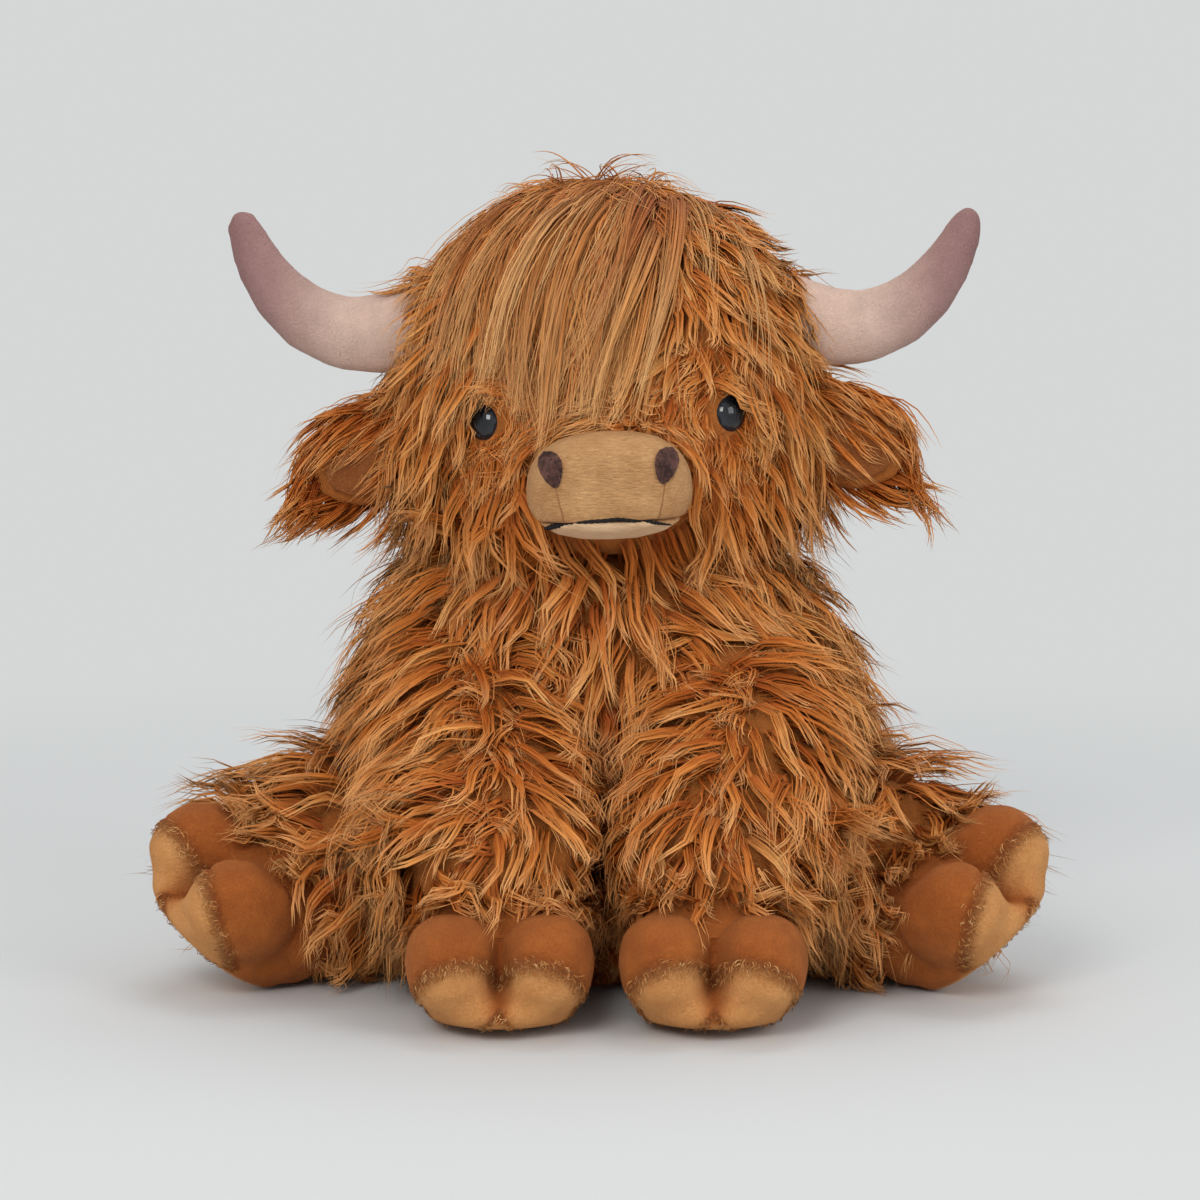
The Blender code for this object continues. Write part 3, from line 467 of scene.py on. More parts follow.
def fur(
    names, form, keep, style, body, spacing, seed, sort=as_one, tree=None, finish=None, slot="long_fur",
    clearings=(), strands=10, points=7
):
    """One region of long pile, grown on a form, combed by its style and sorted into the named pieces."""
    rng = np.random.default_rng(SEED * 1000 + seed)
    tree = tree or surface_of(form)
    coarse = 1.0
    spacing *= coarse
    roots, normals = scattered(form, spacing, keep, rng)
    lines, look = combed(roots, normals, tree, style, clearings, points, rng)
    lines, side, out = waved(lines, normals, look, rng)
    full = within_limits(parted(lines, side, out, look, strands, rng).reshape(-1, points, 3))
    tone = np.repeat(look["tone"] + rng.normal(0, look["variety"], len(roots)), strands)
    tone = np.clip(tone + rng.normal(0, 0.12, len(tone)), 0.02, 0.98)
    core = np.tile(np.arange(strands) < look["core"], len(roots))
    widths = np.where(core, look["broad"], look["width"]) * rng.uniform(0.6, 1.3, len(full))
    widths *= coarse
    rolls = rng.normal(0, 1, len(full)) * np.where(core, 0.35, 0.8)
    pieces = []
    belongs = np.repeat(sort(roots), strands)
    rows = (full, np.repeat(normals, strands, axis=0), widths, rolls, tone)
    for index, name in enumerate(names):
        made = strand_mesh(name, *(row[belongs == index] for row in rows), look["softness"])
        pieces.append(dressed(made, body, slot, finish or BODY_FUR))
    return pieces


def look_of(way, **values):
    """How a region's pile lies, with the usual value of all that its style leaves out."""
    look = dict(
        way=way, length=0.046, uneven=0.28, depth=0.0030, lift=48.0, stray=0.13, drift=0.20, flick=0.10,
        loft=0.008, bend=0.30, fall=0.12, curl=0.0030, turns=1.0, spread=0.0046, clump=0.84, loose=0.0017,
        core=5, broad=0.00110, width=0.00042, tone=0.45, variety=0.16, softness=0.62, wall=None
    )
    look.update(values)
    return look


def steady(way, **values):
    """The style of pile that lies one way all over."""

    def style(places, normals):
        return look_of(np.tile(np.array(way), (len(places), 1)), **values)

    return style


# Materials


def tree_of(name, roughness=0.8, sheen=0.0, tint=(1, 1, 1, 1), specular=0.3):
    made = bpy.data.materials.new(name)
    made.use_nodes = True
    shader = made.node_tree.nodes["Principled BSDF"]
    shader.inputs["Roughness"].default_value = roughness
    shader.inputs["Sheen Weight"].default_value = sheen
    shader.inputs["Sheen Roughness"].default_value = 0.45
    shader.inputs["Sheen Tint"].default_value = tint
    shader.inputs["Specular IOR Level"].default_value = specular
    return made, made.node_tree, shader


def feed(tree, socket, value):
    """A socket takes another socket's value, or a plain one."""
    if isinstance(value, bpy.types.NodeSocket):
        tree.links.new(value, socket)
    else:
        socket.default_value = value


def node(tree, kind, *sources, **settings):
    """A shader node. Its first inputs take the sources; the named inputs and settings take theirs."""
    made = tree.nodes.new(kind)
    for key, value in settings.items():
        if key in made.inputs:
            feed(tree, made.inputs[key], value)
        else:
            setattr(made, key, value)
    for socket, value in zip(made.inputs, sources):
        feed(tree, socket, value)
    return made


def place_of(tree):
    return node(tree, "ShaderNodeTexCoord").outputs["Object"]


def mask_of(tree, name):
    return node(tree, "ShaderNodeAttribute", attribute_name=name).outputs["Fac"]


def figured(tree, operation, *values):
    return node(tree, "ShaderNodeMath", *values, operation=operation).outputs["Value"]


def ranged(tree, value, start=0.0, end=1.0, low=0.0, high=1.0, kind="LINEAR"):
    """A value's way from start to end, as a value between low and high."""
    made = node(tree, "ShaderNodeMapRange", value, start, end, low, high, interpolation_type=kind)
    return made.outputs["Result"]


def ramp_of(tree, source, stops):
    made = node(tree, "ShaderNodeValToRGB", source)
    stops = list(stops)
    elements = made.color_ramp.elements
    while len(elements) < len(stops):
        elements.new(1.0)
    for element, (place, colour) in zip(elements, stops):
        element.position = place
        element.color = (*colour, 1.0)
    return made.outputs["Color"]


def blended(tree, share, first, second, way="MIX"):
    """Two colours in one. A Mix node has sockets for every kind of value, and these are the colours'."""
    made = node(tree, "ShaderNodeMix", share, data_type="RGBA", blend_type=way)
    for socket, value in zip((socket for socket in made.inputs if socket.type == "RGBA"), (first, second)):
        feed(tree, socket, value)
    return next(socket for socket in made.outputs if socket.type == "RGBA")


def fur_material(name, tones, depth, tip):
    """Long pile: each strand has its tone, streaked with fibres, darkened towards the root with painted shade, and
    paler at the tip.
    """
    made, tree, shader = tree_of(name, 0.55, specular=0.12)
    place = node(tree, "ShaderNodeUVMap", uv_map=FUR_MAP).outputs["UV"]
    split = node(tree, "ShaderNodeSeparateXYZ", place)
    tone = ramp_of(tree, split.outputs["X"], zip(TONE_PLACES, tones))
    # Painted shade: the depth stops darken each strand's colour towards its root.
    shade = ramp_of(tree, split.outputs["Y"], [*depth, (1.0, (1.0, 1.0, 1.0))])
    stretched = node(tree, "ShaderNodeMapping", place, Scale=(FIBRES_ACROSS * SHADE_COLUMNS, FIBRE_RUNS, 1.0))
    streaks = node(tree, "ShaderNodeTexNoise", stretched.outputs["Vector"], Scale=1.0, Detail=1.0)
    fibre = ramp_of(tree, streaks.outputs["Fac"], FIBRE_STOPS)
    whole = blended(tree, 1.0, blended(tree, 1.0, tone, shade, "MULTIPLY"), fibre, "MULTIPLY")
    pale = ranged(tree, split.outputs["Y"], TIP_START, high=TIP_STRENGTH, kind="SMOOTHSTEP")
    feed(tree, shader.inputs["Base Color"], blended(tree, pale, whole, (*tip, 1.0)))
    return made


COLOUR = "NodeSocketColor"
VALUE = "NodeSocketFloat"
PILE_INPUTS = {"Colour": COLOUR, "Dark": COLOUR, "Scale": VALUE, "Mottle": VALUE, "Grain": "NodeSocketVector"}
PILE_OUTPUTS = {"Colour": COLOUR, "Height": VALUE}
PILE_SPREAD = (0.72, 1.22)


def pile_group():
    """Short pile: small clumps of lighter and darker fibre, and the height that they give the nap."""
    group = bpy.data.node_groups.new("short_pile", "ShaderNodeTree")
    for way, sockets in (("INPUT", PILE_INPUTS), ("OUTPUT", PILE_OUTPUTS)):
        for name, kind in sockets.items():
            group.interface.new_socket(name=name, in_out=way, socket_type=kind)
    start = group.nodes.new("NodeGroupInput").outputs
    end = group.nodes.new("NodeGroupOutput").inputs
    place = place_of(group)
    drawn = node(group, "ShaderNodeVectorMath", place, start["Grain"], operation="MULTIPLY").outputs["Vector"]
    fine = node(group, "ShaderNodeTexNoise", drawn, Detail=4.0, Roughness=0.7, Distortion=0.6)
    feed(group, fine.inputs["Scale"], start["Scale"])
    wide = node(group, "ShaderNodeTexNoise", place, Scale=70.0, Detail=2.0, Roughness=0.6)
    share = ranged(group, figured(group, "ADD", fine.outputs["Fac"], wide.outputs["Fac"]), *PILE_SPREAD)
    mottled = figured(group, "MULTIPLY", share, start["Mottle"])
    feed(group, end["Colour"], blended(group, mottled, start["Colour"], start["Dark"]))
    feed(group, end["Height"], fine.outputs["Fac"])
    return group


SHORT_PILE = pile_group()
BRUSHED_TIMES = 3.0


def plush_material(
    name, colour, dark, scale=800.0, mottle=0.8, bump=0.0012, sheen=0.30, source=None, grain=(1, 1, 1),
    roughness=0.85, brushed=None
):
    """Short pile. A source gives its two tones; the mask named in brushed shows where its nap is rough."""
    made, tree, shader = tree_of(name, roughness, sheen, (*colour, 1.0))
    light, deep = source(tree) if source else ((*colour, 1.0), (*dark, 1.0))
    pile = node(tree, "ShaderNodeGroup", node_tree=SHORT_PILE)
    for key, value in zip(PILE_INPUTS, (light, deep, scale, mottle, grain)):
        feed(tree, pile.inputs[key], value)
    height = pile.outputs["Height"]
    if brushed:
        more = ranged(tree, mask_of(tree, brushed), low=1.0, high=BRUSHED_TIMES)
        feed(tree, pile.inputs["Mottle"], figured(tree, "MULTIPLY", more, mottle))
        height = figured(tree, "MULTIPLY", more, height)
    raised = node(tree, "ShaderNodeBump", Distance=bump, Strength=1.0, Height=height)
    feed(tree, shader.inputs["Base Color"], pile.outputs["Colour"])
    feed(tree, shader.inputs["Normal"], raised.outputs["Normal"])
    return made


HORN_START = 0.080
HORN_END = 0.172
HORN_DARK_SHARE = 0.72
HORN_TONES = ((0.74, 0.52, 0.42), (0.70, 0.50, 0.41), (0.40, 0.23, 0.215), (0.29, 0.14, 0.14))


def horn_colours(tree):
    """Beige pink for the inner half, dusky mauve brown towards the tip."""
    out = figured(tree, "ABSOLUTE", node(tree, "ShaderNodeSeparateXYZ", place_of(tree)).outputs["X"])
    share = ranged(tree, out, HORN_START, HORN_END)
    deep = [tuple(c * HORN_DARK_SHARE for c in tone) for tone in HORN_TONES]
    return tuple(ramp_of(tree, share, zip(TONE_PLACES, tones)) for tones in (HORN_TONES, deep))


# Each fur's second list holds the depth stops: painted shade along the strand, darkest at the root.
BODY_FUR = fur_material(
    "body_fur",
    ((0.50, 0.125, 0.016), (0.71, 0.228, 0.038), (0.81, 0.31, 0.068), (0.89, 0.43, 0.13)),
    [(0.0, (0.42, 0.24, 0.17)), (0.30, (0.72, 0.58, 0.50)), (0.60, (0.97, 0.95, 0.93))],
    (0.90, 0.55, 0.25),
)
FRINGE_FUR = fur_material(
    "fringe_fur",
    ((0.52, 0.16, 0.035), (0.70, 0.275, 0.072), (0.78, 0.36, 0.11), (0.84, 0.46, 0.18)),
    [(0.0, (0.42, 0.26, 0.19)), (0.25, (0.70, 0.58, 0.51)), (0.50, (0.98, 0.96, 0.94))],
    (0.86, 0.52, 0.23),
)
SEAM_PILE = fur_material(
    "seam_pile",
    ((0.34, 0.11, 0.022), (0.58, 0.23, 0.062), (0.70, 0.33, 0.11), (0.82, 0.46, 0.19)),
    [(0.0, (0.90, 0.86, 0.82)), (0.40, (0.97, 0.95, 0.93)), (0.70, (1.0, 1.0, 1.0))],
    (0.84, 0.50, 0.22),
)
UNDER_PILE = plush_material("under_pile", (0.46, 0.145, 0.024), (0.30, 0.085, 0.014), 900.0)


def by_mask(mask, places, first, second):
    """The source of a plush whose two tones change with a mask, from one plush to another."""

    def source(tree):
        share = mask_of(tree, mask)
        return tuple(ramp_of(tree, share, zip(places, tones)) for tones in zip(first, second))

    return source


GOLDEN_PLUSH = ((0.43, 0.118, 0.017), (0.28, 0.063, 0.008))
TAN_PLUSH = ((0.71, 0.335, 0.114), (0.54, 0.220, 0.062))
CAP_TONES = by_mask("cap", (0.0, 1.0), GOLDEN_PLUSH, TAN_PLUSH)
HOOF_PLUSH = plush_material("hoof_plush", *GOLDEN_PLUSH)
TOE_PLUSH = plush_material("toe_plush", *TAN_PLUSH, source=CAP_TONES, brushed="seam")
EAR_PLUSH = plush_material("ear_plush", (0.36, 0.12, 0.028), (0.22, 0.06, 0.012))
HORN_PLUSH = plush_material(
    "horn_plush", (0.6, 0.4, 0.3), (0.4, 0.25, 0.2), 900.0, 0.7, bump=0.0009, sheen=0.2, source=horn_colours
)
MUZZLE_TONES = ((0.66, 0.365, 0.160), (0.46, 0.225, 0.086))
LIP_TONES = ((0.70, 0.48, 0.29), (0.55, 0.34, 0.19))
VELOUR = dict(
    scale=760.0, sheen=0.2, source=by_mask("lip", (0.3, 0.7), MUZZLE_TONES, LIP_TONES), grain=(0.45, 1.0, 1.7)
)
MUZZLE_VELOUR = plush_material("muzzle_velour", *MUZZLE_TONES, mottle=1.0, bump=0.0014, **VELOUR)
LIP_VELOUR = plush_material("lip_velour", *LIP_TONES, mottle=0.6, bump=0.0008, **VELOUR)
STITCHED = dict(bump=0.0003, sheen=0.1)
DART_THREAD = plush_material("dart_thread", (0.36, 0.18, 0.075), (0.25, 0.11, 0.04), 1500.0, **STITCHED)
MOUTH_THREAD = plush_material("mouth_thread", (0.014, 0.012, 0.012), (0.004, 0.004, 0.004), 1600.0, **STITCHED)
NOSTRIL_THREAD = plush_material(
    "nostril_thread", (0.22, 0.095, 0.070), (0.035, 0.014, 0.012), 620.0, 1.1, bump=0.0016, sheen=0.1
)
FILLING = plush_material("filling_fibre", (0.85, 0.85, 0.83), (0.7, 0.7, 0.68), 400.0)
POUCH_CLOTH = plush_material("pouch_cloth", (0.70, 0.66, 0.58), (0.55, 0.5, 0.42), 1200.0)
WASHER_PLASTIC = plush_material(
    "washer_plastic", (0.80, 0.80, 0.78), (0.72, 0.72, 0.70), 300.0, 0.3, bump=0.00005, sheen=0.0,
    roughness=0.35
)


def eye_material():
    """Black gloss, with a painted reflection that makes it a little bluer and paler towards the rim."""
    made, tree, shader = tree_of("eye_plastic", 0.03, specular=0.55)
    # Painted reflection: the rim stops lighten the black to a blue grey.
    tones = [(0.0, (0.002, 0.002, 0.003)), (0.62, (0.003, 0.004, 0.006)), (0.92, (0.014, 0.020, 0.028))]
    colour = ramp_of(tree, mask_of(tree, "rim"), tones)
    grain = node(tree, "ShaderNodeTexNoise", place_of(tree), Scale=500.0, Detail=2.0).outputs["Fac"]
    haze = ramp_of(tree, grain, [(0.3, (0.85, 0.85, 0.85)), (0.7, (1.0, 1.0, 1.0))])
    feed(tree, shader.inputs["Base Color"], blended(tree, 1.0, colour, haze, "MULTIPLY"))
    return made


EYE_PLASTIC = eye_material()


# Forms under the pile


def pelt(name, node_name, body, voxel=0.004, rounds=6):
    made = plush_form(name, [node_name], voxel, rounds, hull=True)
    dressed(made, body, "long_fur", UNDER_PILE, node_name)
    return made


TORSO = pelt("torso_pelt", "body_skin", "torso")
HEAD = pelt("head_pelt", "head_skin", "head")
LEGS = {
    (end, side): pelt(f"{end}_leg_{side}_pelt", f"{end}_leg_{side}_skin", f"{side}_{end}_leg")
    for end in ("front", "hind")
    for side in SIDES
}


def short_piece(name, nodes, body, slot, finish, voxel=0.0024, rounds=10, swell=0.0006, finer=1, bridge=0.0):
    made = plush_form(name, nodes, voxel, rounds, swell=swell, finer=finer, bridge=bridge)
    return dressed(made, body, slot, finish, *nodes)


def middle_of(name):
    low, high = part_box(name)
    return (low + high) / 2


def hoof_axes(stem):
    """The middle between a hoof's toes, and its forward and sole directions, square to each other."""
    toes = (middle_of(f"{stem}_toe_left") + middle_of(f"{stem}_toe_right")) / 2
    forward = (toes - middle_of(f"{stem}_upper")).normalized()
    down = middle_of(f"{stem}_sole") - toes
    down = (down - forward * down.dot(forward)).normalized()
    return toes, forward, down


def hoof_rows(stem):
    """The hoof's middle between its toes and its two axes, as arrays, and the direction from toe to toe."""
    toes, forward, down = (np.array(part) for part in hoof_axes(stem))
    return toes, forward, down, np.cross(forward, down)


def toe_shares(points, stem, toe):
    """Places round a toe: inward to the cleft, forward and to the sole, as shares of the toe's own size."""
    toes, forward, down = hoof_axes(stem)
    middle = middle_of(f"{stem}_{toe}")
    inward = (toes - middle).normalized()
    inward = (inward - forward * inward.dot(forward) - down * inward.dot(down)).normalized()
    corners = coordinates(frame["nodes"][f"{stem}_{toe}"].data) - np.array(middle)
    ways = [np.array(way) for way in (inward, forward, down)]
    return np.stack([(points - np.array(middle)) @ way / np.abs(corners @ way).max() for way in ways])


def cap_depths(points, stem):
    """How far inside the nearer toe's pale cap each point lies, as a share of the toe: below 0 outside."""
    axis = np.array(Vector(CAP_AXIS_SHARES).normalized())
    depths = []
    for toe in TOES:
        parts = toe_shares(points, stem, toe)
        beyond = np.clip(lengths(parts.T) - CAP_REACH_SHARE, 0, None) * CAP_FADE_SHARE
        depths.append(axis @ parts - CAP_EDGE_SHARE - beyond)
    return np.maximum(*depths)


def toe_edges(points, stem):
    """1 along the line where a toe's top panel is sewn to the upper, 0 away from it."""
    away = np.minimum(*(lengths(toe_shares(points, stem, toe).T) for toe in TOES))
    middle, _, down, _ = hoof_rows(stem)
    below = (points - middle) @ down
    return np.exp(-(((away - TOE_EDGE) / TOE_EDGE_WIDTH) ** 2)) * (1 - eased(below, *TOE_EDGE_END))


def cleave(piece, stem):
    """The cleft between a hoof's two toes, from halfway up their front down to the web of the sole."""
    toes, forward, down, sideways = hoof_rows(stem)
    places = coordinates(piece.data)
    off = places - toes
    aside = off @ sideways
    below = off @ down
    depth = np.exp(-((aside / CLEFT_WIDTH) ** 2)) * eased(off @ forward, *CLEFT_REACH)
    depth *= eased(below, *CLEFT_TOP) * (1 - eased(below, *CLEFT_WEB))
    placed(piece.data, places - forward * (depth * CLEFT_DEPTH)[:, None])


def sew_caps(piece, stem):
    """Both toes' pale caps and the sole: a soft change of tone, and a crease and brushed pile at the seam."""
    places = coordinates(piece.data)
    slopes = slopes_of(piece.data)
    depth = cap_depths(places, stem)
    toes, _, down, sideways = hoof_rows(stem)
    sole = eased(slopes @ down, *SOLE_SLOPES)
    crest = np.exp(-((depth / SEAM_SHARE) ** 2))
    dip = np.exp(-(((depth + DIP_TIMES * SEAM_SHARE) / SEAM_SHARE) ** 2))
    relief = SEAM_HEIGHT * (0.5 * crest - dip) * (1 - sole) - TOE_EDGE_DEPTH * toe_edges(places, stem)
    places += slopes * relief[:, None]
    places[:, 2] = np.maximum(places[:, 2], 0.0)
    placed(piece.data, places)
    web = np.exp(-(((places - toes) @ sideways / WEB_WIDTH) ** 2))
    masked(piece.data, "cap", np.maximum(eased(depth, *CAP_BLEND) * (1 - web), sole))
    masked(piece.data, "seam", np.exp(-(((depth - BRUSHED_MIDDLE) / BRUSHED_WIDTH) ** 2)) * (1 - sole))


def on_seam(stem):
    def keep(places, normals):
        return (np.abs(cap_depths(places, stem) - PILE_MIDDLE) < PILE_REACH) & (places[:, 2] > SEAM_FLOOR)

    return keep


def seam_style(stem):
    forward, down = hoof_axes(stem)[1:]
    return steady(
        forward * 0.5 + down * 0.9, length=0.0034, lift=14.0, stray=0.5, drift=0.3, flick=0.05, loft=0.0,
        fall=0.0, curl=0.0006, spread=0.0011, clump=0.5, loose=0.0006, core=0, width=0.00028, depth=0.0006,
        variety=0.3
    )


WEB_WIDTH = 0.0050
CLEFT_DEPTH = 0.0110
CLEFT_WIDTH = 0.0042
CLEFT_REACH = (0.000, 0.010)
CLEFT_TOP = (-0.017, -0.003)
CLEFT_WEB = (0.010, 0.020)
# A toe's pale cap: its direction inward, forward and down, and where it ends
CAP_AXIS_SHARES = (0.20, 0.62, 0.76)
CAP_EDGE_SHARE = 0.44
CAP_REACH_SHARE = 1.25
CAP_FADE_SHARE = 3
SEAM_HEIGHT = 0.0009
SEAM_SHARE = 0.045
SEAM_FLOOR = 0.004
SOLE_SLOPES = (0.55, 0.90)
DIP_TIMES = 1.8
CAP_BLEND = (-0.02, 0.26)
BRUSHED_MIDDLE = 0.09
BRUSHED_WIDTH = 0.12
PILE_MIDDLE = 0.05
PILE_REACH = 0.14
TOE_EDGE = 1.10
TOE_EDGE_WIDTH = 0.045
TOE_EDGE_DEPTH = 0.0012
TOE_EDGE_END = (-0.004, 0.006)

HOOVES = {}
for end, side in LEGS:
    stem = f"{end}_hoof_{side}"
    panels = [f"{stem}_{panel}" for panel in ("upper", *TOES, "sole")]
    hoof = short_piece(
        f"{stem}_plush", panels, f"{side}_{end}_leg", "toe_plush", TOE_PLUSH, voxel=0.0026, rounds=4,
        swell=0.0002, bridge=0.0018
    )
    cleave(hoof, stem)
    sew_caps(hoof, stem)
    HOOVES[end, side] = hoof
MUZZLE = short_piece(
    "muzzle_velour", ["muzzle"], "head", "muzzle_velour", MUZZLE_VELOUR, voxel=0.0022, rounds=4, swell=0.0003
)
LIP = short_piece(
    "lip_velour", ["lower_lip"], "head", "lip_velour", LIP_VELOUR, voxel=0.0017, rounds=2, swell=0.0002
)
HORNS = []
for side in SIDES:
    nodes = [f"horn_{side}", f"horn_filling_{side}"]
    horn = plush_form(f"horn_{side}_plush", nodes, voxel=0.0026, rounds=12, swell=0.0009, finer=1)
    dressed(horn, "head", "horn_plush", HORN_PLUSH, nodes[0])
    HORNS.append(horn)


RIM_ROLL = 0.0006
RIM_STEPS = 4
DOME_STEPS = 14
TURN_STEPS = 48


def quarter(steps, first):
    """The angles of a quarter turn, in equal steps."""
    return [math.pi / 2 * step / steps for step in range(first, steps + 1)]


def eye_dome(side):
    """A domed toy eye with a rolled rim and its shank, turned about the line through its washer."""
    corners = coordinates(frame["nodes"][f"eye_{side}"].data)
    washer = np.array(middle_of(f"eye_washer_{side}"))
    apex = corners[lengths(corners - washer).argmax()]
    axis = unit((apex - washer)[None])[0]
    along = (corners - apex) @ axis
    aside = lengths(corners - apex - along[:, None] * axis)
    radius = aside.max()
    rim = along[aside > radius * 0.98].max()
    shank = aside[along < along.min() * 0.98].max()
    outline = [(0.0, along.min()), (shank, along.min()), (shank, rim - RIM_ROLL)]
    for turn in quarter(RIM_STEPS, 0):
        outline.append((radius - RIM_ROLL + RIM_ROLL * math.sin(turn), rim - RIM_ROLL * math.cos(turn)))
    for turn in quarter(DOME_STEPS, 1)[:-1]:
        outline.append((radius * math.cos(turn), rim * (1 - math.sin(turn))))
    outline.append((0.0, 0.0))
    build = bmesh.new()
    points = [build.verts.new((out, 0, up)) for out, up in outline]
    edges = [build.edges.new(pair) for pair in zip(points, points[1:])]
    bmesh.ops.spin(
        build, geom=points + edges, cent=(0, 0, 0), axis=UP, dvec=(0, 0, 0), angle=2 * math.pi,
        steps=TURN_STEPS, use_merge=True
    )
    joined(build)
    bmesh.ops.recalc_face_normals(build, faces=build.faces)
    rim_share = [math.hypot(v.co.x, v.co.y) / radius for v in build.verts]
    turn = Vector(axis).to_track_quat("Z", "Y").to_matrix().to_4x4()
    bmesh.ops.transform(build, matrix=Matrix.Translation(Vector(apex)) @ turn, verts=build.verts)
    made = mesh_of(f"eye_{side}_dome", build)
    made.data.shade_smooth()
    # The rim mask carries the eye's painted reflection.
    masked(made.data, "rim", np.array(rim_share))
    return dressed(made, "head", "eye_plastic", EYE_PLASTIC, f"eye_{side}")


EARS = {}
for side in SIDES:
    back = plush_form(f"ear_{side}_pelt", [f"ear_{side}"], voxel=0.0015, rounds=8)
    EARS[side] = dressed(back, f"{side}_ear", "long_fur", UNDER_PILE, f"ear_{side}")
    lining = plush_form(f"ear_{side}_lining", [f"ear_lining_{side}"], voxel=0.0008, rounds=2)
    dressed(lining, f"{side}_ear", "ear_plush", EAR_PLUSH, f"ear_lining_{side}")
    finished(frame["nodes"][f"nostril_{side}"], NOSTRIL_THREAD)
    eye_dome(side)

# Where the face keeps free of long pile: x, z, half-width, half-height
CLEARING_BACK = -0.060


def clearing_of(name, half_width, half_height, height=None):
    low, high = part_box(name)
    return (low.x + high.x) / 2, height or (low.z + high.z) / 2, half_width, half_height


EYES = [clearing_of(f"eye_{side}", half_width=0.0148, half_height=0.0155) for side in SIDES]
CLEARINGS = [clearing_of("muzzle", half_width=0.0400, half_height=0.0265, height=0.2250)] + EYES
# How far into each clearing long pile is rooted, and where the short pile of the brows grows
ROOT_SHARES = (0.87, 0.66, 0.66)
BROW_RING = (0.38, 2.10)
BROW_MUZZLE_SHARE = 0.90
BROW_SHARES = (0.70, 0.75)
CROWN = Vector((-0.002, -0.020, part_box("head_skin")[1].z))

# Where the head's pile changes its lie: from and to, in metres
FACE_DEPTH = (0.040, 0.080)
CHIN_HEIGHT = 0.212
CHIN_BAND = (0.0, 0.016)
CHEEK_TOP = (0.262, 0.280)
TEMPLE_TOP = (0.262, 0.285)
FOREHEAD = (0.280, 0.320)
NOSE_SIDE = (0.032, 0.044)
NOSE_FOOT = (0.236, 0.246)
NOSE_TOP = (0.285, 0.300)
# Where the pile beneath the fringe is shorter and darkened with painted shade: from and to, in metres
SHADE_RIGHT = (0.012, 0.024)
SHADE_LEFT = (-0.055, -0.045)
SHADE_FOOT = (0.262, 0.274)
FLUFF_RIGHT = (0.022, 0.045)
FLUFF_LEFT = (0.052, 0.070)
EYE_RING = (0.012, 0.026)
# The head's pile, and how much shorter it is above, under the muzzle and where it is fluffy
HEAD_LENGTH = 0.058
HIGH_CUT = 0.020
CHIN_CUT = 0.016
FLUFF_CUT = 0.020


def head_style(places, normals):
    """Falls from the crown all round; short at the eyes, swept over the nose, curly at the cheeks and chin,
    shorter with painted shade under the fringe.
    """
    x, y, z = places.T
    way = unit(np.stack([x - CROWN.x, y - CROWN.y, 0 * x], 1)) * 0.40 + np.array([(0, 0, -1.0)])
    front = eased(-y, *FACE_DEPTH)
    below_muzzle = front * eased(CHIN_HEIGHT - z, *CHIN_BAND)
    beside = front * (1 - eased(z, *CHEEK_TOP)) * (1 - below_muzzle)
    way[:, 0] += beside * np.sign(x) * 0.40
    over_nose = front * (1 - eased(np.abs(x), *NOSE_SIDE)) * eased(z, *NOSE_FOOT) * (1 - eased(z, *NOSE_TOP))
    way += over_nose[:, None] * np.array([(-1.1, 0.0, 0.35)])
    # Beneath the fringe the pile is shorter, and its tone is lowered as painted shade.
    beneath = front * (1 - eased(x, *SHADE_RIGHT)) * eased(x, *SHADE_LEFT) * eased(z, *SHADE_FOOT)
    fluffy = np.maximum(eased(x - CROWN.x, *FLUFF_RIGHT), eased(CROWN.x - x, *FLUFF_LEFT))
    temple = eased(z, *TEMPLE_TOP)
    high = eased(z, *FOREHEAD) * (1 - 0.8 * fluffy)
    near_eye = 0 * x
    for ex, ez, _, _ in EYES:
        near_eye = np.maximum(near_eye, front * (1 - eased(np.hypot(x - ex, z - ez), *EYE_RING)))
    length = HEAD_LENGTH - HIGH_CUT * high - CHIN_CUT * below_muzzle - FLUFF_CUT * fluffy * temple
    length = length * (1 - 0.45 * over_nose) * (1 - 0.45 * beneath) * (1 - 0.60 * near_eye)
    return look_of(
        way,
        length=length,
        lift=36.0 - 20.0 * near_eye - 16.0 * high - 14.0 * over_nose + 14.0 * fluffy * temple,
        loft=0.0040,
        curl=0.0050 * (1 - 0.7 * over_nose) * (1 - 0.6 * high),
        flick=0.34 * (1 - 0.8 * over_nose) * (1 - high) * (1 + 1.2 * fluffy),
        drift=0.32,
        tone=0.56 - 0.50 * beneath,
    )


# The fringe's middle and lower end, how far its end rises aside, its least length, and where it changes
FRINGE_MIDDLE = 0.001
FRINGE_END = 0.243
FRINGE_RISE = 0.020
FRINGE_ASIDE = 0.012
FRINGE_LEAST = 0.012
FACE_FRONT = -0.085
FRINGE_SWEEP = 0.42
FRINGE_TURN = (0.020, 0.050)
FRINGE_SIDE = (0.016, 0.050)
FRINGE_SHORT = (0.034, 0.052)
FRINGE_SHORT_TOP = (0.318, 0.335)
FRINGE_LOOSE = (-0.012, 0.006)


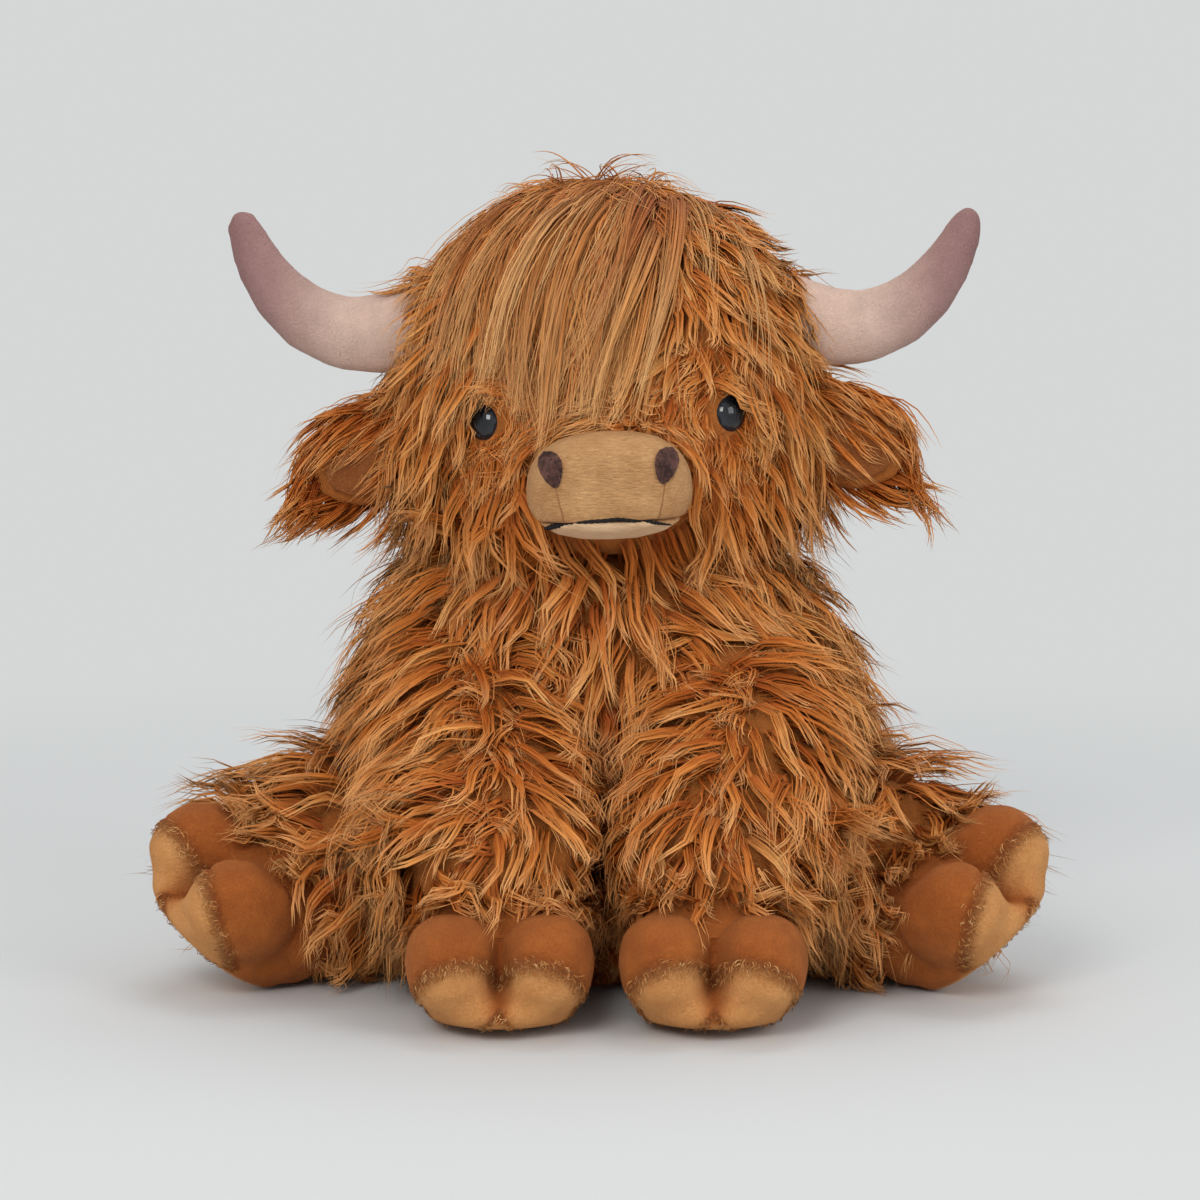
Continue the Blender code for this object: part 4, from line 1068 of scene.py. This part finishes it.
def fringe_style(places, normals):
    """Long straight pile from the crown down over the forehead, swept to one side and ending at the nose."""
    x, y, z = places.T
    sweep = -FRINGE_SWEEP * (1 - 0.5 * eased(FRINGE_MIDDLE - x, *FRINGE_TURN))
    apart = (x - CROWN.x) * np.where(x > CROWN.x, 0.6, 2.0)
    end = FRINGE_END + FRINGE_RISE * eased(np.abs(x - FRINGE_ASIDE - FRINGE_MIDDLE), *FRINGE_SIDE)
    length = FRINGE_LEAST + np.clip(z - end, 0.0, None) * 1.04 + np.clip(y - FACE_FRONT, 0, None) * 0.50
    length = length * (1 - 0.4 * eased(CROWN.x - x, *FRINGE_SHORT) * eased(z, *FRINGE_SHORT_TOP))
    return look_of(
        np.stack([apart + sweep, -0.9 + 0 * x, -1.0 + 0 * x], 1), length=length, uneven=0.46, lift=7.0,
        stray=0.15, drift=0.10 + 0.18 * (1 - eased(x, *FRINGE_LOOSE)), loft=0.0050, bend=0.40, fall=0.22,
        curl=0.0036, turns=0.8, flick=0.05, clump=0.94, spread=0.0054, core=7, broad=0.00120, width=0.00040,
        tone=0.57, variety=0.30
    )


BODY_LENGTH = 0.054
# Where the chest between the front legs has short pile darkened with painted shade: from and to, in metres
CHEST_FRONT = (0.050, 0.075)
CHEST_SIDE = (0.016, 0.030)
CHEST_TOP = (0.120, 0.140)


def body_style(places, normals):
    """Falls outward and down; short on the chest between the front legs, and darkened there with painted shade."""
    x, y, z = places.T
    way = unit(np.stack([x, y * 0.6, 0 * x], 1)) * 0.75 + np.array([(0, 0, -0.85)])
    between = eased(-y, *CHEST_FRONT) * (1 - eased(np.abs(x), *CHEST_SIDE)) * (1 - eased(z, *CHEST_TOP))
    # Painted shade: the tone drops on the chest between the front legs.
    return look_of(
        way, length=BODY_LENGTH * near_floor(z) * (1 - 0.6 * between), lift=52.0, curl=0.0056, flick=0.42,
        fall=0.10, drift=0.38, tone=0.53 - 0.44 * between
    )


def joint_of(child):
    """Where a body's joint is."""
    return np.array(next(joint for joint in frame["joints"] if joint["child"] == child)["pos_m"])


def leg_line(end, side):
    """A leg's root, its direction and its length as far as the hoof."""
    root = joint_of(f"{side}_{end}_leg")
    reach = np.array(middle_of(f"{end}_hoof_{side}_upper")) - root
    length = np.linalg.norm(reach)
    return root, reach / length, length


def off_line(places, root, axis):
    """How far along a line each place is, and its way off the line."""
    along = (places - root) @ axis
    return along, places - (root + along[:, None] * axis)


FLOOR_BAND = (0.008, 0.060)


def near_floor(z):
    """Pile is cut shorter where it would spread on the floor."""
    return 0.50 + 0.50 * eased(z, *FLOOR_BAND)


def leg_style(end, side):
    root, axis, length = leg_line(end, side)

    def front(places, normals):
        along, off = off_line(places, root, axis)
        share = np.clip(along / length, 0, 1)
        end = eased(share, 0.70, 0.88)
        inner = eased(-off[:, 0] * SIGNS[side], *INNER_BAND)
        aside = np.tanh(off[:, 0] / PARTING) * (1.15 - 0.55 * share) * (1 - 0.6 * end)
        way = axis[None] * 0.28 + np.array([(0, 0, -0.26)])
        way = way + np.stack([aside, 0 * share, 0 * share], 1)
        way += unit(off) * 0.25 + axis[None] * (0.5 * end)[:, None]
        size = (LEG_LENGTH - SHIN_CUT * eased(share, 0.60, 0.80) - HOOF_CUT * end) * near_floor(places[:, 2])
        return look_of(
            way, length=size * (1 - 0.52 * inner), lift=48.0 - 20.0 * eased(share, 0.6, 1.0) - 12.0 * inner,
            loft=0.007, curl=0.0060, flick=0.38, fall=0.13, drift=0.40, wall=(SIGNS[side], LEG_GAP)
        )

    def hind(places, normals):
        along, off = off_line(places, root, axis)
        share = np.clip(along / length, 0, 1)
        way = axis[None] * 0.85 + unit(off * np.array([(1.0, 0.5, 0.6)])) * 0.45 + np.array([(0, 0, -0.30)])
        size = (LEG_LENGTH - HIND_CUT * eased(share, 0.75, 1.0)) * near_floor(places[:, 2])
        return look_of(way, length=size, lift=54.0, loft=0.010, curl=0.0060, flick=0.40, drift=0.40, tone=0.51)

    return front if end == "front" else hind


INNER_BAND = (0.010, 0.030)
LEG_LENGTH = 0.056
SHIN_CUT = 0.008
HOOF_CUT = 0.006
HIND_CUT = 0.014
PARTING_HALF = 0.007
# The short fuzz that stands along the parting of a front leg
PARTING_STYLE = steady(
    (0.0, -0.3, -0.8), length=0.021, lift=52.0, stray=0.7, drift=0.5, loft=0.004, curl=0.0034, clump=0.7,
    core=2, tone=0.30
)
TAIL_STYLE = steady(
    (0.0, 0.15, -1.0), length=0.030, lift=30.0, loft=0.002, curl=0.0024, spread=0.0024, softness=0.3
)


def ear_style(side):
    return steady(
        (SIGNS[side], 0.05, -0.55), length=0.042, lift=24.0, loft=0.002, curl=0.0026, flick=0.12,
        spread=0.0034, softness=0.1
    )


def on_parting(side):
    root, axis, length = leg_line("front", side)

    def keep(places, normals):
        along, off = off_line(places, root, axis)
        share = along / length
        return (np.abs(off[:, 0]) < PARTING_HALF) & (normals[:, 1] < -0.35) & (share > 0.0) & (share < 0.85)

    return keep


def share_of(clearing, places):
    """How far each place is from the middle of a clearing, as a share of its size."""
    middle, height, half_width, half_height = clearing
    return np.hypot((places[:, 0] - middle) / half_width, (places[:, 2] - height) / half_height)


def on_head(places, normals):
    """Where long pile grows on the head: all but the neck's flat and what the muzzle and eyes cover."""
    free = normals[:, 2] > -0.93
    for clearing, edge in zip(CLEARINGS, ROOT_SHARES):
        free &= (share_of(clearing, places) > edge) | (places[:, 1] > CLEARING_BACK)
    return free


def on_brow(places, normals):
    """The ring of cloth round each eye, which has short pile."""
    ring = np.zeros(len(places), bool)
    for eye in EYES:
        share = share_of(eye, places)
        ring |= (share > BROW_RING[0]) & (share < BROW_RING[1])
    return ring & (share_of(CLEARINGS[0], places) > BROW_MUZZLE_SHARE) & (places[:, 1] < CLEARING_BACK)


BROW_SHIFT = 0.0020
BROW_INNER = (0.040, 0.052)


def brow_style(places, normals):
    """Falls past each eye, and over the nose at its inner side."""
    x, y, z = places.T
    inner = 1 - eased(np.abs(x), *BROW_INNER)
    return look_of(
        np.stack([np.sign(x) * 0.35 * (1 - inner) - 0.7 * inner, 0 * x, -0.8 + 0.2 * inner], 1), length=0.016,
        lift=20.0, stray=0.35, loft=0.002, curl=0.0020, spread=0.0020, core=2, broad=0.0009, tone=0.36
    )


FRINGE_FOOT = 0.290
FRINGE_BACK = 0.008
FRINGE_RIGHT = (0.016, 0.034)
FRINGE_LEFT = (0.056, 0.040)
FRINGE_LEFT_BAND = (-0.045, -0.010)
CROWN_RADIUS = 0.026


def on_fringe(places, normals):
    """The crown and forehead; the band narrows to the left behind, and widens to the right upward."""
    x, y, z = places.T
    right_edge = CROWN.x + np.minimum(FRINGE_RIGHT[0] + (z - FRINGE_FOOT) * 0.70, FRINGE_RIGHT[1])
    left_edge = CROWN.x - FRINGE_LEFT[0] + FRINGE_LEFT[1] * eased(y, *FRINGE_LEFT_BAND)
    return (z > FRINGE_FOOT) & (y < FRINGE_BACK) & (x > left_edge) & (x < right_edge)


def on_crown(places, normals):
    return lengths(places - np.array(CROWN)) < CROWN_RADIUS


def flyaway_style(places, normals):
    """A few long fine strands that rise from the crown and loop over."""
    x, y, z = places.T
    return look_of(
        np.stack([(x - CROWN.x) * 12.0 + 0.15, (y - CROWN.y) * 6.0 - 0.3, 0 * x], 1), length=0.034, lift=46.0,
        stray=0.5, loft=0.004, bend=0.10, fall=0.17, curl=0.0050, flick=0.0, clump=0.94, loose=0.0022, core=0,
        width=0.00050, tone=0.6, softness=0.2
    )


# Where pile ends: under the head, at the legs' sockets, behind a leg, by the floor and at an ear's lining
SHOULDER_HEIGHT = 0.186
SOCKET_RADIUS = 0.036
SEAT_DEPTH = 0.030
LEG_FLOOR = 0.010
EAR_SEAM = 0.022
EAR_FACE_DROP = 0.004


def on_torso(front):
    """One half of the torso, but not under the head and at the legs' seams."""

    def keep(places, normals):
        x, y, z = places.T
        free = (normals[:, 2] > -0.55) & (z < SHOULDER_HEIGHT)
        for end, side in LEGS:
            free &= lengths(places - joint_of(f"{side}_{end}_leg")) > SOCKET_RADIUS
        return free & ((y < 0.0) if front else (y >= 0.0))

    return keep


def on_leg(end, side):
    """A leg from its seam to its hoof, but not what lies in the torso or on the floor."""
    root, axis, length = leg_line(end, side)

    def keep(places, normals):
        along = (places - root) @ axis / length
        torso_side = places[:, 1] > root[1] + SEAT_DEPTH
        return (along > -0.25) & (along < 0.96) & ~torso_side & (places[:, 2] > LEG_FLOOR)

    return keep


def everywhere(places, normals):
    return np.ones(len(places), bool)


def on_ear(side):
    """All of an ear but the face that its lining covers."""
    root = joint_of(f"{side}_ear")

    def keep(places, normals):
        reach = lengths(places - root)
        return ~((normals[:, 1] < -0.6) & (reach > EAR_SEAM) & (places[:, 2] < root[2] - EAR_FACE_DROP))

    return keep


def thread(name, outline, half_width, finish, slot, *nodes):
    """A stitched line on the muzzle. Its outline is places across and up, with a width share at each."""
    front = surface_of(MUZZLE, LIP)
    curve = bpy.data.curves.new(name, "CURVE")
    curve.dimensions = "3D"
    curve.bevel_depth = half_width
    curve.bevel_resolution = 2
    curve.use_fill_caps = True
    line = curve.splines.new("POLY")
    line.points.add(THREAD_POINTS - 1)
    x, z, width = (np.array(part) for part in zip(*outline))
    share = np.linspace(0, 1, len(x))
    for index, point in enumerate(line.points):
        at = index / (THREAD_POINTS - 1)
        start = Vector((np.interp(at, share, x), THREAD_START, np.interp(at, share, z)))
        spot, normal, _, _ = front.ray_cast(start, Vector((0, 1, 0)))
        if spot is None:
            spot, normal, _, _ = front.find_nearest(Vector((start.x, THREAD_SIDE, start.z)))
        stitch = 0.85 + 0.15 * math.cos(math.pi * index)
        point.co = (*(spot + normal * half_width * THREAD_RISE), 1.0)
        point.radius = np.interp(at, share, width) * stitch
    piece = object_of(name, curve)
    made = object_of(name, baked(piece))
    bpy.data.objects.remove(piece)
    made.name = name
    made.data.shade_smooth()
    return dressed(made, "head", slot, finish, *nodes)


THREAD_POINTS = 61
THREAD_RISE = 0.15
THREAD_START = -0.30
THREAD_SIDE = -0.125
MOUTH_HALF_WIDTH = 0.0012
DART_HALF_WIDTH = 0.00034
LIP_BLEND = 0.0006
MOUTH_OUTLINE = (
    (-0.0256, 0.2078, 0.4),
    (-0.0240, 0.2084, 1.1),
    (-0.0175, 0.2104, 1.1),
    (-0.0067, 0.2120, 0.9),
    (0.0052, 0.2130, 0.8),
    (0.0150, 0.2120, 0.8),
    (0.0214, 0.2108, 0.7),
    (0.0270, 0.2096, 0.3),
)
DART_OUTLINES = {
    "left": ((-0.0212, 0.2258, 0.6), (-0.0196, 0.2190, 1.0), (-0.0175, 0.2108, 1.0)),
    "right": ((0.0245, 0.2275, 0.6), (0.0232, 0.2190, 1.0), (0.0214, 0.2112, 1.0)),
}
across, heights, _ = zip(*MOUTH_OUTLINE)
for panel in (MUZZLE, LIP):
    places = coordinates(panel.data)
    under = np.interp(places[:, 0], across, heights) - places[:, 2]
    masked(panel.data, "lip", eased(under, -LIP_BLEND, LIP_BLEND))
thread("mouth_embroidery", MOUTH_OUTLINE, MOUTH_HALF_WIDTH, MOUTH_THREAD, "mouth_thread", "mouth_stitch")
for side in SIDES:
    thread(f"muzzle_dart_{side}", DART_OUTLINES[side], DART_HALF_WIDTH, DART_THREAD, "muzzle_velour")



head_tree = surface_of(HEAD, TORSO, *HORNS)
thirds = ["head_fur_left", "head_fur_right", "head_fur_back"]
fur(
    thirds, HEAD, on_head, head_style, "head", spacing=0.0071, seed=1, sort=by_third, tree=head_tree,
    clearings=CLEARINGS, strands=9
)
fringe = fur(
    ["forelock_fringe"], HEAD, on_fringe, fringe_style, "head", spacing=0.0086, seed=2, tree=head_tree,
    finish=FRINGE_FUR, slot="forelock_fur", clearings=CLEARINGS, strands=24, points=10
)
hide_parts("forelock")
wider, taller = BROW_SHARES
moved = [(x + math.copysign(BROW_SHIFT, x), z, wider * wide, taller * tall) for x, z, wide, tall in EYES]
fur(
    ["brow_fur"], HEAD, on_brow, brow_style, "head", spacing=0.0036, seed=4, clearings=CLEARINGS[:1] + moved,
    strands=7, points=5
)
fur(
    ["crown_flyaways"], HEAD, on_crown, flyaway_style, "head", spacing=0.0110, seed=3, tree=head_tree,
    finish=FRINGE_FUR, slot="forelock_fur", strands=6, points=11
)
for seed, stem, spacing in ((10, "chest_fur", 0.0072), (11, "back_fur", 0.0080)):
    names = [f"{stem}_{side}" for side in SIDES]
    fur(
        names, TORSO, on_torso(stem == "chest_fur"), body_style, "torso", spacing, seed, sort=by_side,
        strands=9, points=6
    )
for seed, (end, side) in enumerate(LEGS):
    form = LEGS[end, side]
    fur(
        [f"{end}_leg_{side}_fur"], form, on_leg(end, side), leg_style(end, side), f"{side}_{end}_leg",
        spacing=0.0074, seed=20 + seed, tree=surface_of(form, HOOVES[end, side]), points=6
    )
for seed, (end, side) in enumerate(LEGS):
    stem = f"{end}_hoof_{side}"
    fur(
        [f"{stem}_seam_pile"], HOOVES[end, side], on_seam(stem), seam_style(stem), f"{side}_{end}_leg",
        spacing=0.0021, seed=60 + seed, finish=SEAM_PILE, slot="toe_plush", strands=3, points=4
    )
for seed, side in enumerate(SIDES):
    fur(
        [f"front_leg_{side}_parting"], LEGS["front", side], on_parting(side), PARTING_STYLE,
        f"{side}_front_leg", spacing=0.0048, seed=50 + seed, strands=8
    )
for seed, side in enumerate(SIDES):
    fur(
        [f"ear_{side}_fur"], EARS[side], on_ear(side), ear_style(side), f"{side}_ear", spacing=0.0048,
        seed=30 + seed, strands=8
    )
tuft = short_piece("tail_tuft_pelt", ["tail_tuft"], "tail", "long_fur", UNDER_PILE)
cord = short_piece("tail_cord_plush", ["tail_cord"], "tail", "hoof_plush", HOOF_PLUSH)
fur(["tail_fur"], tuft, everywhere, TAIL_STYLE, "tail", spacing=0.0040, seed=40)

INSIDE = {"fibre_filling": FILLING, "pouch_cloth": POUCH_CLOTH, "washer_plastic": WASHER_PLASTIC}
for part in frame["record"]["subparts"]:
    if part["material_slot"] in INSIDE:
        finished(frame["nodes"][part["node"]], INSIDE[part["material_slot"]])


# Stage, light and camera


def camera_sees(tree):
    """1 on rays that show the backdrop: from the camera, in gloss and through clear pieces."""
    rays = node(tree, "ShaderNodeLightPath").outputs
    either = figured(tree, "MAXIMUM", rays["Is Camera Ray"], rays["Is Glossy Ray"])
    return figured(tree, "MAXIMUM", either, rays["Is Transmission Ray"])


def paper_material():
    """Pale studio paper, which fades into the backdrop's own tone away from the toy."""
    made, tree, shader = tree_of("studio_paper", 0.9)
    place = place_of(tree)
    grain = node(tree, "ShaderNodeTexNoise", place, Scale=3.0).outputs["Fac"]
    stops = [(0.3, PAPER), (0.7, tuple(c * 1.01 for c in PAPER))]
    feed(tree, shader.inputs["Base Color"], ramp_of(tree, grain, stops))
    reach = node(tree, "ShaderNodeVectorMath", place, operation="LENGTH").outputs["Value"]
    share = ranged(tree, reach, FADE_START, FADE_END, kind="SMOOTHSTEP")
    shown = figured(tree, "MULTIPLY", share, camera_sees(tree))
    glow = node(tree, "ShaderNodeEmission", (*BACKDROP, 1.0), 1.0).outputs["Emission"]
    both = node(tree, "ShaderNodeMixShader", shown, shader.outputs["BSDF"], glow)
    feed(tree, tree.nodes["Material Output"].inputs["Surface"], both.outputs["Shader"])
    return made


def make_stage():
    build = bmesh.new()
    bmesh.ops.create_circle(build, cap_ends=True, segments=64, radius=FLOOR_RADIUS)
    floor = mesh_of("studio_floor", build)
    floor.data.materials.append(paper_material())


def aimed(name, data, place):
    """A light or the camera, which looks at the toy."""
    made = object_of(name, data)
    made.location = place
    made.rotation_euler = (AIM - Vector(place)).to_track_quat("-Z", "Y").to_euler()
    return made


def area_light(name, place, size, watts, colour):
    data = bpy.data.lights.new(name, "AREA")
    data.shape = "SQUARE"
    data.size = size
    data.energy = watts
    data.color = colour
    aimed(name, data, place)


def make_camera():
    data = bpy.data.cameras.new("photo_camera")
    data.lens = LENS_MM
    data.sensor_width = SENSOR_MM
    bpy.context.scene.camera = aimed("photo_camera", data, EYE)


def make_world():
    world = bpy.data.worlds.new("studio")
    bpy.context.scene.world = world
    world.use_nodes = True
    tree = world.node_tree
    studio = tree.nodes["Background"]
    studio.inputs["Color"].default_value = (*SKY, 1.0)
    studio.inputs["Strength"].default_value = SKY_STRENGTH
    backdrop = node(tree, "ShaderNodeBackground", (*BACKDROP, 1.0), 1.0).outputs["Background"]
    both = node(tree, "ShaderNodeMixShader", camera_sees(tree), studio.outputs["Background"], backdrop)
    feed(tree, tree.nodes["World Output"].inputs["Surface"], both.outputs["Shader"])


make_stage()
make_world()
for softbox in SOFTBOXES:
    area_light(*softbox)
make_camera()
bpy.context.scene.view_settings.view_transform = "Standard"
